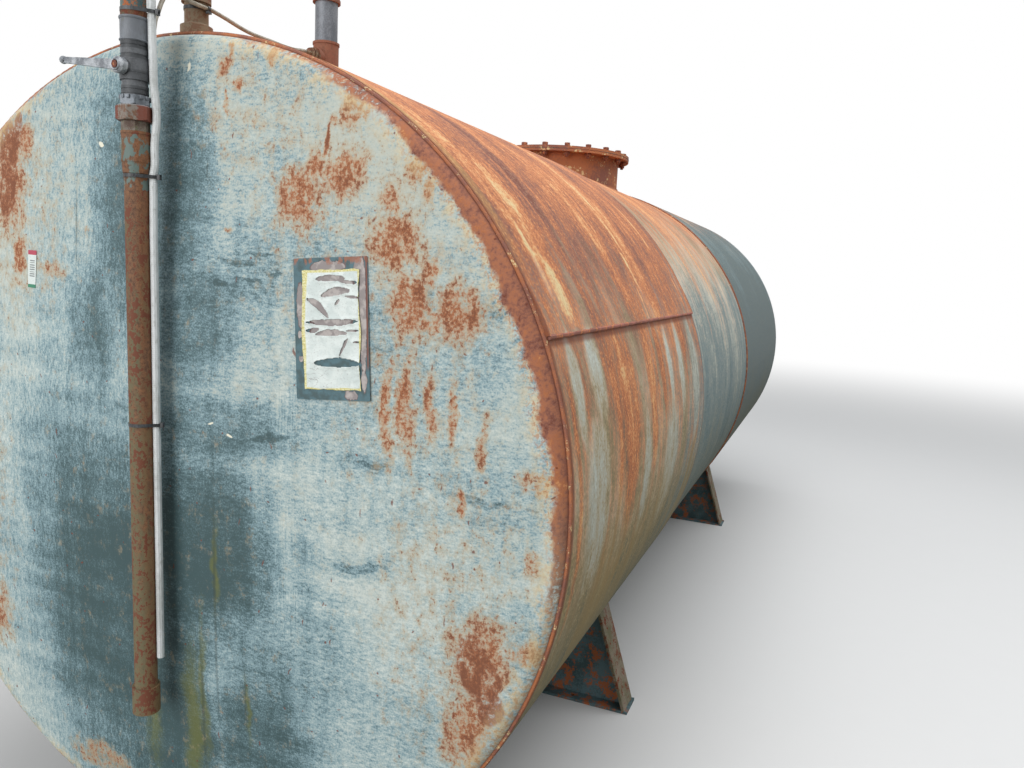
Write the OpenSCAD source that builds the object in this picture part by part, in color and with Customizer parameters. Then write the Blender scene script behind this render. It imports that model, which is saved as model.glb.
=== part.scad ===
// Horizontal oil storage tank on two saddles, with its suction riser and vent.
// Millimetres. +Z up, +Y along the tank away from the riser, origin on the ground
// below the middle of the whole object.

/* [Shell] */
// Outer radius of the end courses
shell_r = 950; // [800:5:1100]
// Thickness of the shell and head plates
plate_t = 6; // [5:0.5:8]
// Width of the plate of the near course
course_near_w = 1500; // [1400:10:1600]
// Width of the plate of the middle course
course_middle_w = 1500; // [1300:10:1700]
// Width of the plate of the far course
course_far_w = 1940; // [1700:10:2200]
// Overlap of two courses at a round seam
lap_w = 30; // [20:1:40]
// Angle from the top to the long lap of the near course
lap_near_deg = 67.5; // [50:0.5:80]
// Angle from the top to the long lap of the middle course, on the other side
lap_middle_deg = 62; // [50:0.5:80]
// Angle from the top to the long lap of the far course
lap_far_deg = 74; // [50:0.5:80]
// Clear height under the shell
ground_gap = 110; // [60:5:400]

/* [Heads] */
// Outer radius of the knuckle between the flange and the dished face
knuckle_r = 30; // [20:1:50]
// Depth of the head from the start of its knuckle to its middle
head_depth = 65; // [50:1:80]
// Length of the straight flange inside the shell
flange_len = 24; // [15:1:28]
// Distance of the knuckle inside the shell's edge
head_inset = 5; // [2:0.5:8]

/* [Saddles] */
// Distance of the near saddle's web from the shell's near edge
saddle_near_y = 1284; // [900:5:1400]
// Distance of the far saddle's web from the shell's near edge
saddle_far_y = 3689; // [3400:5:4100]
// Angle from the bottom of the shell to the place where a strip meets it
saddle_wrap_deg = 45.5; // [40:0.5:50]
// Slope of the end strips from the vertical
strip_slope = 18; // [12:0.5:22]
// Width of the end strips and of the base plate along the tank
strip_w = 110; // [80:1:160]
// Thickness of the end strips
strip_t = 10; // [6:0.5:14]
// Thickness of the web plate
web_t = 10; // [6:0.5:14]
// Thickness of the base plate
base_t = 10; // [8:0.5:16]
// Distance between the anchor holes across the tank
anchor_x = 1200; // [1000:10:1400]
// Distance between the anchor holes along the tank
anchor_y = 66; // [50:1:76]
// Radius of the anchor holes
anchor_r = 9; // [7:0.5:11]

/* [Manhole] */
// Distance of the manhole's centre from the shell's near edge
manhole_y = 2440; // [2200:5:2500]
// Outer radius of the neck
neck_r = 300; // [250:5:320]
// Wall of the neck
neck_wall = 8; // [6:0.5:12]
// Outer radius of the flange and the cover
cover_r = 350; // [340:1:380]
// Height of the cover's top above the ridge of the middle course
cover_top = 112; // [100:1:140]
// Thickness of the flange and of the cover
cover_t = 12; // [8:0.5:16]

/* [Suction line] */
// Outer radius of the pipes of the suction line
pipe_r = 24.15; // [22:0.05:25]
// Inner radius of the pipes of the suction line
pipe_bore_r = 20.9; // [18:0.05:21]
// Distance of the welded stub from the shell's near edge
stub_y = 57; // [54:1:90]
// Distance of the riser in front of the shell's near edge
riser_y = 111; // [105:1:125]
// Height of the stub above the ridge
stub_h = 74; // [66:1:100]
// Distance from an elbow's middle to its faces
elbow_reach = 50; // [48:1:54]
// Radius of the bands at an elbow's ends
elbow_band_r = 31; // [29:0.5:33]
// Length of the bands at an elbow's ends
elbow_band_l = 14; // [10:0.5:16]
// Radius of an elbow's body
elbow_body_r = 27.5; // [26:0.5:28.5]

/* [Riser fittings] */
// Length of the upper pipe that shows between the elbow and the coupling
upper_clear = 79.3; // [70:0.1:90]
// Length of the coupling
coupling_l = 47; // [42:1:54]
// Outer radius of the coupling
coupling_r = 26.2; // [25.8:0.1:28]
// Depth of the upper pipe in the coupling
coupling_seat = 25; // [15:1:30]
// Outer radius of the valve's middle
valve_r = 28; // [27:0.5:29]
// Outer radius of the bands at the valve's ends
valve_end_r = 25.8; // [25:0.1:27]
// Width across the flats of the ring over the union nut
union_ring_flats = 53; // [50:0.5:54]
// Height of the ring over the union nut
union_ring_h = 19.5; // [16:0.5:22]
// Width of the union nut across its flats
nut_flats = 64.5; // [62:0.5:66]
// Height of the union nut
nut_h = 30.5; // [26:0.5:34]
// Radius of the eight-sided collar under the nut
collar_r = 27.5; // [26:0.1:29]
// Height of the collar
collar_h = 19.5; // [16:0.5:22]
// Radius of the pipe socket
socket_r = 28; // [27:0.1:28.5]
// Length of the pipe socket with its taper
socket_l = 83; // [76:1:90]
// Depth of the riser pipe in its sockets
socket_seat = 36; // [24:1:40]
// Length of the riser pipe
riser_l = 1200; // [900:10:1300]
// Length of the open socket at the riser's lower end
end_socket_l = 62; // [50:1:80]
// Radius of the thread in the open socket
end_thread_r = 22.5; // [21:0.1:23]

/* [Valve lever] */
// Length from the stem to the lever's tip
lever_l = 160; // [120:1:170]
// Rise of the lever over the level when the valve is shut
lever_rise_deg = 6.4; // [0:0.1:10]
// Radius of the lever's hub
hub_r = 16; // [14:0.5:17]
// Length of the lever's hub along the stem
hub_l = 15; // [13:0.5:18]
// Thickness of the lever's arm
arm_t = 8; // [6:0.5:9]
// Radius of the stem
stem_r = 6.5; // [5:0.5:8]
// Running clearance round the stem
stem_gap = 0.1; // [0.05:0.01:0.2]

/* [Conduit and cable] */
// Radius of the conduit
conduit_r = 8; // [6:0.1:8]
// Radius of the sensor cable
cable_r = 4.6; // [3:0.1:4.6]
// Side of the riser that the conduit is strapped to
conduit_deg = 22; // [18:1:30]
// Height of a tie's band
tie_h = 7; // [5:0.5:8]
// Thickness of a tie's band
tie_t = 1.3; // [1:0.1:1.6]
// Height of the top tie over the coupling
tie_top_gap = 13; // [10:1:18]
// Distance of the middle tie below the pipe socket
tie_middle_gap = 5; // [4:1:12]
// Distance of the low tie below the pipe socket
tie_low_gap = 526; // [500:1:550]

/* [Vent] */
// Distance of the vent from the shell's near edge
vent_y = 528; // [500:1:560]
// Outer radius of the tee on the shell
tee_r = 34; // [33:0.5:36]
// Height of the tee over the ridge
tee_h = 120; // [110:1:130]
// Outer radius of the vent pipe
vent_r = 30.15; // [28:0.05:30.5]
// Inner radius of the vent pipe
vent_bore_r = 26.6; // [24:0.05:27]
// Height of the collar's lower end over the ridge
vent_collar_z = 223; // [200:1:240]
// Length of the collar on the vent pipe
vent_collar_l = 58; // [50:1:70]
// Radius of the collar on the vent pipe
vent_collar_r = 37; // [35:0.5:39]
// Height of the vent pipe's top over the ridge
vent_top_z = 560; // [420:5:700]
// Radius of the vent's rain cap
cowl_r = 58; // [50:1:66]
// Height of the tee's side port over the ridge
port_z = 76; // [72:1:80]
// Radius of the side port
port_r = 19; // [17:0.5:20]
// Length of the side port from the middle of the tee
port_l = 52; // [48:1:60]
// Radius of the bore in the side port
plug_r = 13; // [11:0.5:15]
// Depth of the vent pipe in the tee
tee_seat = 22; // [16:1:30]
// Depth of the lower vent pipe in its collar
vent_collar_seat = 24; // [16:1:30]

/* [Label] */
// Width of the label
label_w = 171; // [150:1:190]
// Height of the label
label_h = 282; // [260:1:300]
// Distance of the label's centre to the right of the tank's axis
label_x = 442; // [400:1:480]
// Height of the label's centre above the tank's axis
label_z = 348; // [300:1:400]
// Thickness of the label
label_t = 1.5; // [1:0.1:2]
// Tilt of the label on the head
label_tilt = 3; // [0:0.5:5]

/* [Hidden] */
$fn = 96;
// Gap left between pieces that seat on each other
seat = 0.3;
// Overshoot of a cutting shape past the face that it cuts
over = 2;

axis_h = shell_r + ground_gap;
near_end = course_near_w;
middle_start = course_near_w - lap_w;
middle_end = middle_start + course_middle_w;
far_start = middle_end - lap_w;
shell_len = far_start + course_far_w;
middle_r = shell_r - plate_t - seat;
head_r = shell_r - plate_t - seat;
crown_r = (pow(head_r - knuckle_r, 2) + pow(head_depth, 2) - pow(knuckle_r, 2))
        / (2 * (head_depth - knuckle_r));
crown_deg = asin((head_r - knuckle_r) / (crown_r - knuckle_r));
crown_mid = head_depth - crown_r;

base_top = -axis_h + base_t + seat;
strip_len = shell_r * 0.75;
strip_in = strip_t / cos(strip_slope);
strip_meets = (shell_r + seat) * [sin(saddle_wrap_deg), -cos(saddle_wrap_deg)];
saddle_foot_x = strip_meets[0] + (strip_meets[1] - base_top) * tan(strip_slope);

cover_z = middle_r + cover_top - cover_t;
flange_z = cover_z - seat - cover_t;

// Bands of the ball valve from its lower end up: height and radius.
groove_r = valve_end_r - 1.2;
valve_bands = [
  [2.7, groove_r], [7.3, valve_end_r], [2, groove_r], [7.7, valve_end_r], [9.1, groove_r],
  [13.4, valve_r], [1.2, valve_r - 0.7], [23.8, valve_r], [1.2, valve_r - 1.5],
  [7.1, valve_r - 1], [3.7, groove_r], [15.4, valve_end_r], [2.4, groove_r], [7, valve_end_r]
];
function stack_height(bands, n) = n == 0 ? 0 : bands[n - 1][0] + stack_height(bands, n - 1);
valve_l = stack_height(valve_bands, len(valve_bands));

stub_r = pipe_r + 1;
elbow_z = shell_r + stub_h + seat + elbow_reach;
elbow_face_z = elbow_z - elbow_reach;
coupling_top = elbow_face_z - upper_clear;
coupling_z = coupling_top - coupling_l;
valve_z = coupling_z - seat - valve_l;
stem_z = valve_z + valve_l / 2;
stem_seat = 14;
boss_face = riser_y + valve_r + 2;
hub_back = boss_face + 0.6;
hub_front = hub_back + hub_l;
bolt_front = hub_front + 4;
ring_z = valve_z - seat - union_ring_h;
nut_z = ring_z - seat - nut_h;
collar_z = nut_z - seat - collar_h;
socket_top = collar_z - seat;
socket_z = socket_top - socket_l;
riser_top = socket_z + socket_seat;
riser_end = riser_top - riser_l;
tie_top_z = coupling_top + tie_top_gap;
tie_middle_z = socket_z - tie_middle_gap;
tie_low_z = socket_z - tie_low_gap;

port_face = vent_y - port_l;
vent_joint_z = shell_r + vent_collar_z + vent_collar_seat;

front_y = bolt_front;
back_y = shell_len - head_inset + head_depth;
mid_y = (back_y - front_y) / 2;

// Puts a piece drawn about the tank's axis and near edge into the part's frame.
module place() {
  translate([0, -mid_y, axis_h]) children();
}

// Turns an outline seen along the tank into a plate from y0 to y1.
module along(y0, y1) {
  translate([0, y1, 0]) rotate([90, 0, 0]) linear_extrude(height = y1 - y0) children();
}

// Round bar along the tank.
module bar(r, y0, y1) {
  translate([0, y0, 0]) rotate([-90, 0, 0]) cylinder(r = r, h = y1 - y0, $fn = 180);
}

// Upright tube from z0 to z1.
module tube(r, bore, z0, z1) {
  translate([0, 0, z0]) difference() {
    cylinder(r = r, h = z1 - z0);
    translate([0, 0, -over]) cylinder(r = bore, h = z1 - z0 + 2 * over);
  }
}

function on_ring(r, deg) = [r * sin(deg), r * cos(deg)];

// Edge of the rolled plate that lies over its other end, at an angle from the top.
module lap_edge(r, deg, side, y0, y1) {
  span = 8;
  steps = 6;
  root = 3;
  outer = [for (i = [0:steps]) on_ring(r + plate_t - (plate_t + 1) * i / steps,
                                       side * (deg - span * i / steps))];
  inner = [for (i = [steps:-1:0]) on_ring(r - root, side * (deg - span * i / steps))];
  along(y0, y1) polygon(concat(outer, inner));
}

module course(r, y0, y1) {
  difference() {
    bar(r, y0, y1);
    bar(r - plate_t, y0 - over, y1 + over);
  }
}

module shell_course_near() {
  color("#9d8f86") place() difference() {
    union() {
      course(shell_r, 0, near_end);
      lap_edge(shell_r, lap_near_deg, 1, 0, near_end);
    }
    translate([0, stub_y, shell_r - 4 * plate_t]) cylinder(r = pipe_bore_r, h = 8 * plate_t);
    translate([0, vent_y, shell_r - 4 * plate_t]) cylinder(r = vent_bore_r, h = 8 * plate_t);
  }
}

module shell_course_middle() {
  color("#93a3a2") place() difference() {
    union() {
      course(middle_r, middle_start, middle_end);
      lap_edge(middle_r, lap_middle_deg, -1, near_end + 1, far_start - 1);
    }
    translate([0, manhole_y, 0]) cylinder(r = neck_r - neck_wall, h = shell_r + over);
  }
}

module shell_course_far() {
  color("#8fa2a3") place() union() {
    course(shell_r, far_start, shell_len);
    lap_edge(shell_r, lap_far_deg, -1, far_start, shell_len);
  }
}

// Outline of a flanged and dished head, from its middle to its flange and back inside.
function head_outline() = let (
    crown_steps = 8, knuckle_steps = 8,
    crown = function (r) [for (i = [0:crown_steps])
      let (a = crown_deg * i / crown_steps) [r * sin(a), crown_mid + r * cos(a)]],
    knuckle = function (r) [for (i = [1:knuckle_steps])
      let (a = crown_deg + (90 - crown_deg) * i / knuckle_steps)
      [head_r - knuckle_r + r * sin(a), r * cos(a)]],
    outside = concat(crown(crown_r), knuckle(knuckle_r), [[head_r, -flange_len]]),
    inside = concat(crown(crown_r - plate_t), knuckle(knuckle_r - plate_t),
                    [[head_r - plate_t, -flange_len]])
  ) concat(outside, [for (i = [len(inside) - 1:-1:0]) inside[i]]);

module head() {
  rotate_extrude($fn = 180) polygon(head_outline());
}

module head_near() {
  color("#8fa9b0") place() translate([0, head_inset, 0]) rotate([90, 0, 0]) head();
}

module head_far() {
  color("#8fa9b0") place() translate([0, shell_len - head_inset, 0]) rotate([-90, 0, 0]) head();
}

// Outline of one sloped end strip, seen along the tank, running up past the shell.
function strip_outline(side) = [
  [side * saddle_foot_x, base_top],
  [side * (saddle_foot_x - strip_len * sin(strip_slope)), base_top + strip_len * cos(strip_slope)],
  [side * (saddle_foot_x - strip_in - strip_len * sin(strip_slope)),
   base_top + strip_len * cos(strip_slope)],
  [side * (saddle_foot_x - strip_in), base_top]
];

module saddle_strip(y, side) {
  color("#77736c") place() difference() {
    along(y - strip_w / 2, y + strip_w / 2) polygon(strip_outline(side));
    bar(shell_r + seat, y - strip_w, y + strip_w);
  }
}

module saddle_web(y) {
  half = saddle_foot_x - strip_in - seat;
  rise = shell_r * 0.9;
  color("#4d6f78") place() difference() {
    along(y - web_t / 2, y + web_t / 2) polygon([
      [-half, base_top], [half, base_top],
      [half - rise * tan(strip_slope), base_top + rise],
      [-half + rise * tan(strip_slope), base_top + rise]
    ]);
    bar(shell_r + seat, y - web_t, y + web_t);
  }
}

module saddle_base(y) {
  color("#5a4a40") place() difference() {
    translate([-saddle_foot_x - base_t, y - strip_w / 2, -axis_h])
      cube([2 * (saddle_foot_x + base_t), strip_w, base_t]);
    for (sx = [-1, 1], sy = [-1, 1])
      translate([sx * anchor_x / 2, y + sy * anchor_y / 2, -axis_h - over])
        cylinder(r = anchor_r, h = base_t + 2 * over);
  }
}

module saddle_near_web() { saddle_web(saddle_near_y); }
module saddle_near_base() { saddle_base(saddle_near_y); }
module saddle_near_strip_left() { saddle_strip(saddle_near_y, -1); }
module saddle_near_strip_right() { saddle_strip(saddle_near_y, 1); }
module saddle_far_web() { saddle_web(saddle_far_y); }
module saddle_far_base() { saddle_base(saddle_far_y); }
module saddle_far_strip_left() { saddle_strip(saddle_far_y, -1); }
module saddle_far_strip_right() { saddle_strip(saddle_far_y, 1); }

module manhole_neck() {
  color("#8a5640") place() difference() {
    translate([0, manhole_y, 0]) tube(neck_r, neck_r - neck_wall, shell_r / 2, cover_z - seat);
    bar(middle_r + seat, manhole_y - cover_r, manhole_y + cover_r);
  }
}
module manhole_flange() {
  color("#8a5640") place() translate([0, manhole_y, 0])
    tube(cover_r, neck_r + seat, flange_z, flange_z + cover_t);
}
module manhole_cover() {
  color("#7c4a38") place() translate([0, manhole_y, cover_z]) cylinder(r = cover_r, h = cover_t);
}

// Welded stub over the near edge, with the flare of its weld at the foot.
module suction_stub() {
  foot_r = 34;
  foot_h = 26;
  color("#6e5a4a") place() difference() {
    translate([0, stub_y, 0]) union() {
      cylinder(r = stub_r, h = shell_r + stub_h);
      cylinder(r = foot_r, h = shell_r + foot_h);
      translate([0, 0, shell_r + foot_h]) cylinder(r1 = foot_r, r2 = stub_r, h = 5);
    }
    bar(shell_r + seat, stub_y - 2 * foot_r, stub_y + 2 * foot_r);
    translate([0, stub_y, 0]) cylinder(r = pipe_bore_r, h = shell_r + stub_h + over);
  }
}

// Elbow with one face down and one face to +Y, its middle at the origin.
module elbow() {
  bend = elbow_reach - elbow_band_l;
  difference() {
    union() {
      elbow_path(elbow_body_r, bend, 0);
      translate([0, 0, -elbow_reach]) cylinder(r = elbow_band_r, h = elbow_band_l);
      translate([0, bend, 0]) rotate([-90, 0, 0]) cylinder(r = elbow_band_r, h = elbow_band_l);
    }
    elbow_path(pipe_bore_r, bend, elbow_band_l + over);
  }
}

// Quarter bend of a round bar, with straight ends of a given length.
module elbow_path(r, bend, tail) {
  translate([0, bend, -bend]) rotate([0, -90, 0]) rotate([0, 0, -90])
    rotate_extrude(angle = 90) translate([bend, 0]) circle(r = r, $fn = 64);
  if (tail > 0) {
    translate([0, 0, -bend - tail]) cylinder(r = r, h = tail);
    translate([0, bend, 0]) rotate([-90, 0, 0]) cylinder(r = r, h = tail);
  }
}

module suction_elbow_rear() {
  color("#7d3d2c") place() translate([0, stub_y, elbow_z]) mirror([0, 1, 0]) elbow();
}
module crossover_pipe() {
  y0 = -riser_y + elbow_reach + seat;
  y1 = stub_y - elbow_reach - seat;
  color("#5f7f84") place() translate([0, y0, elbow_z]) rotate([-90, 0, 0])
    tube(pipe_r, pipe_bore_r, 0, y1 - y0);
}
module suction_elbow_front() {
  color("#6b4a3c") place() translate([0, -riser_y, elbow_z]) elbow();
}

module on_riser() {
  place() translate([0, -riser_y, 0]) children();
}

module riser_upper_pipe() {
  color("#4f7f86") on_riser()
    tube(pipe_r, pipe_bore_r, coupling_top - coupling_seat, elbow_face_z - seat);
}

module riser_coupling() {
  lip = 1.2;
  lip_h = 5;
  color("#5c6066") on_riser() difference() {
    union() {
      translate([0, 0, coupling_z]) cylinder(r = coupling_r, h = coupling_l);
      translate([0, 0, coupling_top - lip_h]) cylinder(r = coupling_r + lip, h = lip_h);
    }
    translate([0, 0, coupling_z - over]) cylinder(r = pipe_bore_r, h = coupling_l + 2 * over);
    translate([0, 0, coupling_top - coupling_seat - seat])
      cylinder(r = pipe_r + seat, h = coupling_seat + over + seat);
  }
}

// Round bands stacked from the bottom up.
module stack(bands) {
  for (i = [0:len(bands) - 1])
    translate([0, 0, stack_height(bands, i)]) cylinder(r = bands[i][1], h = bands[i][0]);
}

// Ball valve: banded ends, a plain middle and the boss of its stem. It is shut, so it is solid.
module valve_body() {
  boss_r = 14;
  boss_depth = boss_face - riser_y;
  color("#3c3f42") on_riser() difference() {
    union() {
      translate([0, 0, valve_z]) stack(valve_bands);
      translate([0, 0, stem_z]) rotate([90, 0, 0]) cylinder(r = boss_r, h = boss_depth);
    }
    translate([0, 0, stem_z]) rotate([90, 0, 0]) translate([0, 0, boss_depth - stem_seat])
      cylinder(r = stem_r + stem_gap, h = stem_seat + over);
  }
}

// Cast lever: hub, flat arm that narrows towards a ball at its tip, and the stem.
module valve_lever() {
  root_r = 10;
  waist_r = 6;
  tip_r = 8;
  hub_edge = 3;
  arm_y = hub_front - arm_t - 1;
  color("#a9acad") on_riser() translate([0, 0, stem_z]) rotate([0, lever_rise_deg, 0])
    rotate([90, 0, 0]) union() {
      translate([0, 0, hub_back - riser_y]) cylinder(r = hub_r, h = hub_l - hub_edge);
      translate([0, 0, hub_front - riser_y - hub_edge])
        cylinder(r1 = hub_r, r2 = hub_r - hub_edge, h = hub_edge);
      translate([-lever_l + tip_r, 0, arm_y - riser_y + arm_t / 2]) sphere(r = tip_r, $fn = 48);
      translate([0, 0, boss_face - riser_y - stem_seat + 1])
        cylinder(r = stem_r, h = stem_seat + 1);
      translate([0, 0, arm_y - riser_y]) linear_extrude(height = arm_t) {
        hull() {
          circle(r = root_r, $fn = 32);
          translate([-lever_l + 3 * tip_r, 0]) circle(r = waist_r, $fn = 32);
        }
        translate([-lever_l + tip_r, -waist_r]) square([2 * tip_r, 2 * waist_r]);
      }
    }
}

module lever_bolt() {
  head_flats = 13;
  color("#6a3424") on_riser() translate([0, 0, stem_z]) rotate([90, 0, 0])
    translate([0, 0, hub_front - riser_y + seat])
      cylinder(d = head_flats / cos(30), h = bolt_front - hub_front - seat, $fn = 6);
}

// Six-sided fitting on the pipe, one flat facing a given way, its corners turned off at both ends.
module six_sided(flats, z0, h, face_deg) {
  corner_r = flats / 2 / cos(30);
  outer_r = corner_r + 0.5;
  face_r = flats / 2 - 0.5;
  turned = (outer_r - face_r) * tan(30);
  translate([0, 0, z0]) difference() {
    intersection() {
      rotate([0, 0, face_deg + 30]) cylinder(r = corner_r, h = h, $fn = 6);
      rotate_extrude() polygon([
        [0, 0], [face_r, 0], [outer_r, turned], [outer_r, h - turned], [face_r, h], [0, h]
      ]);
    }
    translate([0, 0, -over]) cylinder(r = pipe_bore_r, h = h + 2 * over);
  }
}

module union_ring() {
  color("#6f8583") on_riser() six_sided(union_ring_flats, ring_z, union_ring_h, -16);
}
module union_nut() {
  color("#7a4a38") on_riser() six_sided(nut_flats, nut_z, nut_h, -38);
}

module union_collar() {
  color("#8d8672") on_riser() difference() {
    translate([0, 0, collar_z]) cylinder(r = collar_r, h = collar_h, $fn = 8);
    translate([0, 0, collar_z - over]) cylinder(r = pipe_bore_r, h = collar_h + 2 * over);
  }
}

// Pipe socket with a rim at each end and a taper down to the pipe.
module riser_socket() {
  rim = 0.9;
  rim_h = 5;
  taper_h = 22;
  taper_r = pipe_r + 1.6;
  color("#6d5a48") on_riser() difference() {
    union() {
      translate([0, 0, socket_z + taper_h]) cylinder(r = socket_r, h = socket_l - taper_h);
      translate([0, 0, socket_z]) cylinder(r1 = taper_r, r2 = socket_r, h = taper_h);
      translate([0, 0, socket_top - rim_h]) cylinder(r = socket_r + rim, h = rim_h);
      translate([0, 0, socket_z + taper_h]) cylinder(r = socket_r + rim, h = rim_h);
    }
    translate([0, 0, socket_z - over]) cylinder(r = pipe_bore_r, h = socket_l + 2 * over);
    translate([0, 0, socket_z - over])
      cylinder(r = pipe_r + seat, h = socket_seat + over + seat);
  }
}

module riser_pipe() {
  color("#6b4434") on_riser() tube(pipe_r, pipe_bore_r, riser_end, riser_top);
}

module riser_end_socket() {
  wall = 5;
  z0 = riser_end + socket_seat - end_socket_l;
  color("#6b4434") on_riser() difference() {
    tube(pipe_r + wall, end_thread_r, z0, z0 + end_socket_l);
    translate([0, 0, riser_end - seat]) cylinder(r = pipe_r + seat, h = end_socket_l);
  }
}

// Points of the conduit: its distance from the riser's axis, and its height over the coupling.
top_reach = 36.6;
middle_reach = 34.6;
low_reach = 33.4;
conduit_run = [
  [top_reach, 67], [top_reach, 45], [top_reach, 18], [top_reach, -10], [36.6, -45], [37.6, -80],
  [38.2, -120], [40, -145], [42.8, -170], [42.8, -200], [39.6, -230], [37.8, -255],
  [38.2, -281], [36.6, -296], [middle_reach, -306], [middle_reach, -316], [middle_reach, -340],
  [33.6, -425], [33.8, -545], [33.6, -685], [low_reach, -831], [33.6, -1005], [34, -1185],
  [34, -1365]
];
// Offset of the cable from the conduit, on the side of the tank.
cable_side = [-5, 12.2];
// Place in the stub's tie that the cable passes through.
loop_x = stub_r + tie_t + cable_r + 2 * seat;
// Points of the cable from the vent's port past the stub to the top of the conduit, with their
// heights over the ridge.
cable_lead = [
  [0, 441, 76], [0, 425, 74.5], [2, 389, 67.5], [6.5, 339, 62.5], [11, 291, 60],
  [15, 245, 56.5], [19.5, 201, 54.5], [24, 159, 56], [28.5, 119, 59], [loop_x, 73, 62],
  [loop_x, 65, 62], [loop_x, 51, 62], [loop_x - 1.5, 43, 62.5], [23, 32, 65], [9, 22, 71],
  [0, 14, 77], [-3, 4, 82], [0, -8, 82.5],
  [5, -24, 74.5], [10, -40, 59], [14, -54, 40.5], [18, -66, 19], [22, -78, -2]
];
// Point of the conduit from which the cable keeps beside it.
lead_meets = 4;
function strapped(out, side, z) = [out * cos(conduit_deg) - side * sin(conduit_deg),
                                   out * sin(conduit_deg) + side * cos(conduit_deg) - riser_y,
                                   coupling_top + z];
function run_point(p) = strapped(p[0], 0, p[1]);
function beside(p) = strapped(p[0] + cable_side[0], cable_side[1], p[1]);
conduit_points = [for (p = conduit_run) run_point(p)];
cable_points = concat([for (p = cable_lead) [p[0], p[1], shell_r + p[2]]],
                      [for (i = [lead_meets:len(conduit_run) - 1]) beside(conduit_run[i])]);

function unit(v) = v / norm(v);
function blend(a, b, c, d, t) = 0.5 * (2 * b + (c - a) * t + (2 * a - 5 * b + 4 * c - d) * t * t
  + (3 * b - a - 3 * c + d) * t * t * t);
function smooth_path(p, steps) = concat(
  [for (i = [0:len(p) - 2], k = [0:steps - 1])
    blend(p[max(i - 1, 0)], p[i], p[i + 1], p[min(i + 2, len(p) - 1)], k / steps)],
  [p[len(p) - 1]]);

// Round tube swept along a list of points.
module sweep(points, r, sides) {
  n = len(points);
  rings = [for (i = [0:n - 1])
    let (t = unit(points[min(i + 1, n - 1)] - points[max(i - 1, 0)]),
         a = unit(cross(t, [1, 0, 0])), b = cross(t, a))
    for (k = [0:sides - 1])
      points[i] + r * (cos(360 * k / sides) * a + sin(360 * k / sides) * b)];
  walls = [for (i = [0:n - 2], k = [0:sides - 1])
    let (next = (k + 1) % sides)
    [i * sides + k, (i + 1) * sides + k, (i + 1) * sides + next, i * sides + next]];
  ends = [[for (k = [0:sides - 1]) k], [for (k = [sides - 1:-1:0]) (n - 1) * sides + k]];
  polyhedron(points = rings, faces = concat(walls, ends), convexity = 8);
}

module conduit() {
  color("#d8d6cf") place() sweep(smooth_path(conduit_points, 2), conduit_r, 10);
}

module sensor_cable() {
  color("#b8b09c") place() sweep(smooth_path(cable_points, 2), cable_r, 8);
}

// Outline of a tie pulled round the pipe and the conduit, and round the cable where it is there.
module tie_outline(apart, slack, with_cable) {
  hull() {
    circle(r = pipe_r + slack, $fn = 32);
    translate([apart, 0]) circle(r = conduit_r + slack, $fn = 32);
    if (with_cable) translate([apart + cable_side[0], cable_side[1]])
      circle(r = cable_r + slack, $fn = 32);
  }
}

module tie_band(apart, with_cable) {
  color("#1d1e20") difference() {
    linear_extrude(height = tie_h) tie_outline(apart, seat + tie_t, with_cable);
    translate([0, 0, -1]) linear_extrude(height = tie_h + 2)
      tie_outline(apart, seat, with_cable);
  }
}

// Locking head of a tie, past its far end, as thick and wide as such heads are.
tie_head_size = [6, 10, tie_h + 4];
module tie_head(reach) {
  color("#1d1e20") translate([reach, -tie_head_size[1] / 2, (tie_h - tie_head_size[2]) / 2])
    cube(tie_head_size);
}

module riser_tie(z, apart, with_cable) {
  on_riser() translate([0, 0, z - tie_h / 2]) rotate([0, 0, conduit_deg]) {
    tie_band(apart, with_cable);
    tie_head(apart + conduit_r + seat + tie_t / 2);
  }
}

// Band round the stub, with a small loop beside it that holds the cable.
stub_tie_z = 62;
module stub_tie() {
  band_r = stub_r + seat;
  loop_r = cable_r + seat;
  head = [8, tie_h + 3, 5];
  color("#1d1e20") place() translate([0, stub_y + 1, shell_r + stub_tie_z]) {
    translate([0, -1, 0]) tube(band_r + tie_t, band_r, -tie_h / 2, tie_h / 2);
    translate([loop_x, -tie_h / 2, 0]) rotate([-90, 0, 0])
      tube(loop_r + tie_t, loop_r, 0, tie_h);
    translate([loop_x - 2, -head[1] / 2, -loop_r - tie_t - head[2] + 0.5]) cube(head);
  }
}

module cable_ties() {
  riser_tie(tie_top_z, top_reach, false);
  riser_tie(tie_middle_z, middle_reach, true);
  riser_tie(tie_low_z, low_reach, true);
  stub_tie();
}

module vent_tee() {
  lip = 2;
  lip_h = 6;
  port_lip_h = 7;
  color("#96543a") place() difference() {
    translate([0, vent_y, 0]) union() {
      cylinder(r = tee_r, h = shell_r + tee_h);
      translate([0, 0, shell_r + tee_h - lip_h]) cylinder(r = tee_r + lip, h = lip_h);
      translate([0, 0, shell_r + port_z]) rotate([90, 0, 0]) cylinder(r = port_r, h = port_l);
      translate([0, port_lip_h - port_l, shell_r + port_z]) rotate([90, 0, 0])
        cylinder(r = port_r + lip, h = port_lip_h);
    }
    bar(shell_r + seat, vent_y - 2 * tee_r, vent_y + 2 * tee_r);
    translate([0, vent_y, 0]) cylinder(r = vent_bore_r, h = shell_r + tee_h + over);
    translate([0, vent_y, shell_r + tee_h - tee_seat])
      cylinder(r = vent_r + seat, h = tee_seat + over);
    translate([0, vent_y, shell_r + port_z]) rotate([90, 0, 0])
      cylinder(r = plug_r + seat, h = port_l + over);
  }
}

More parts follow.
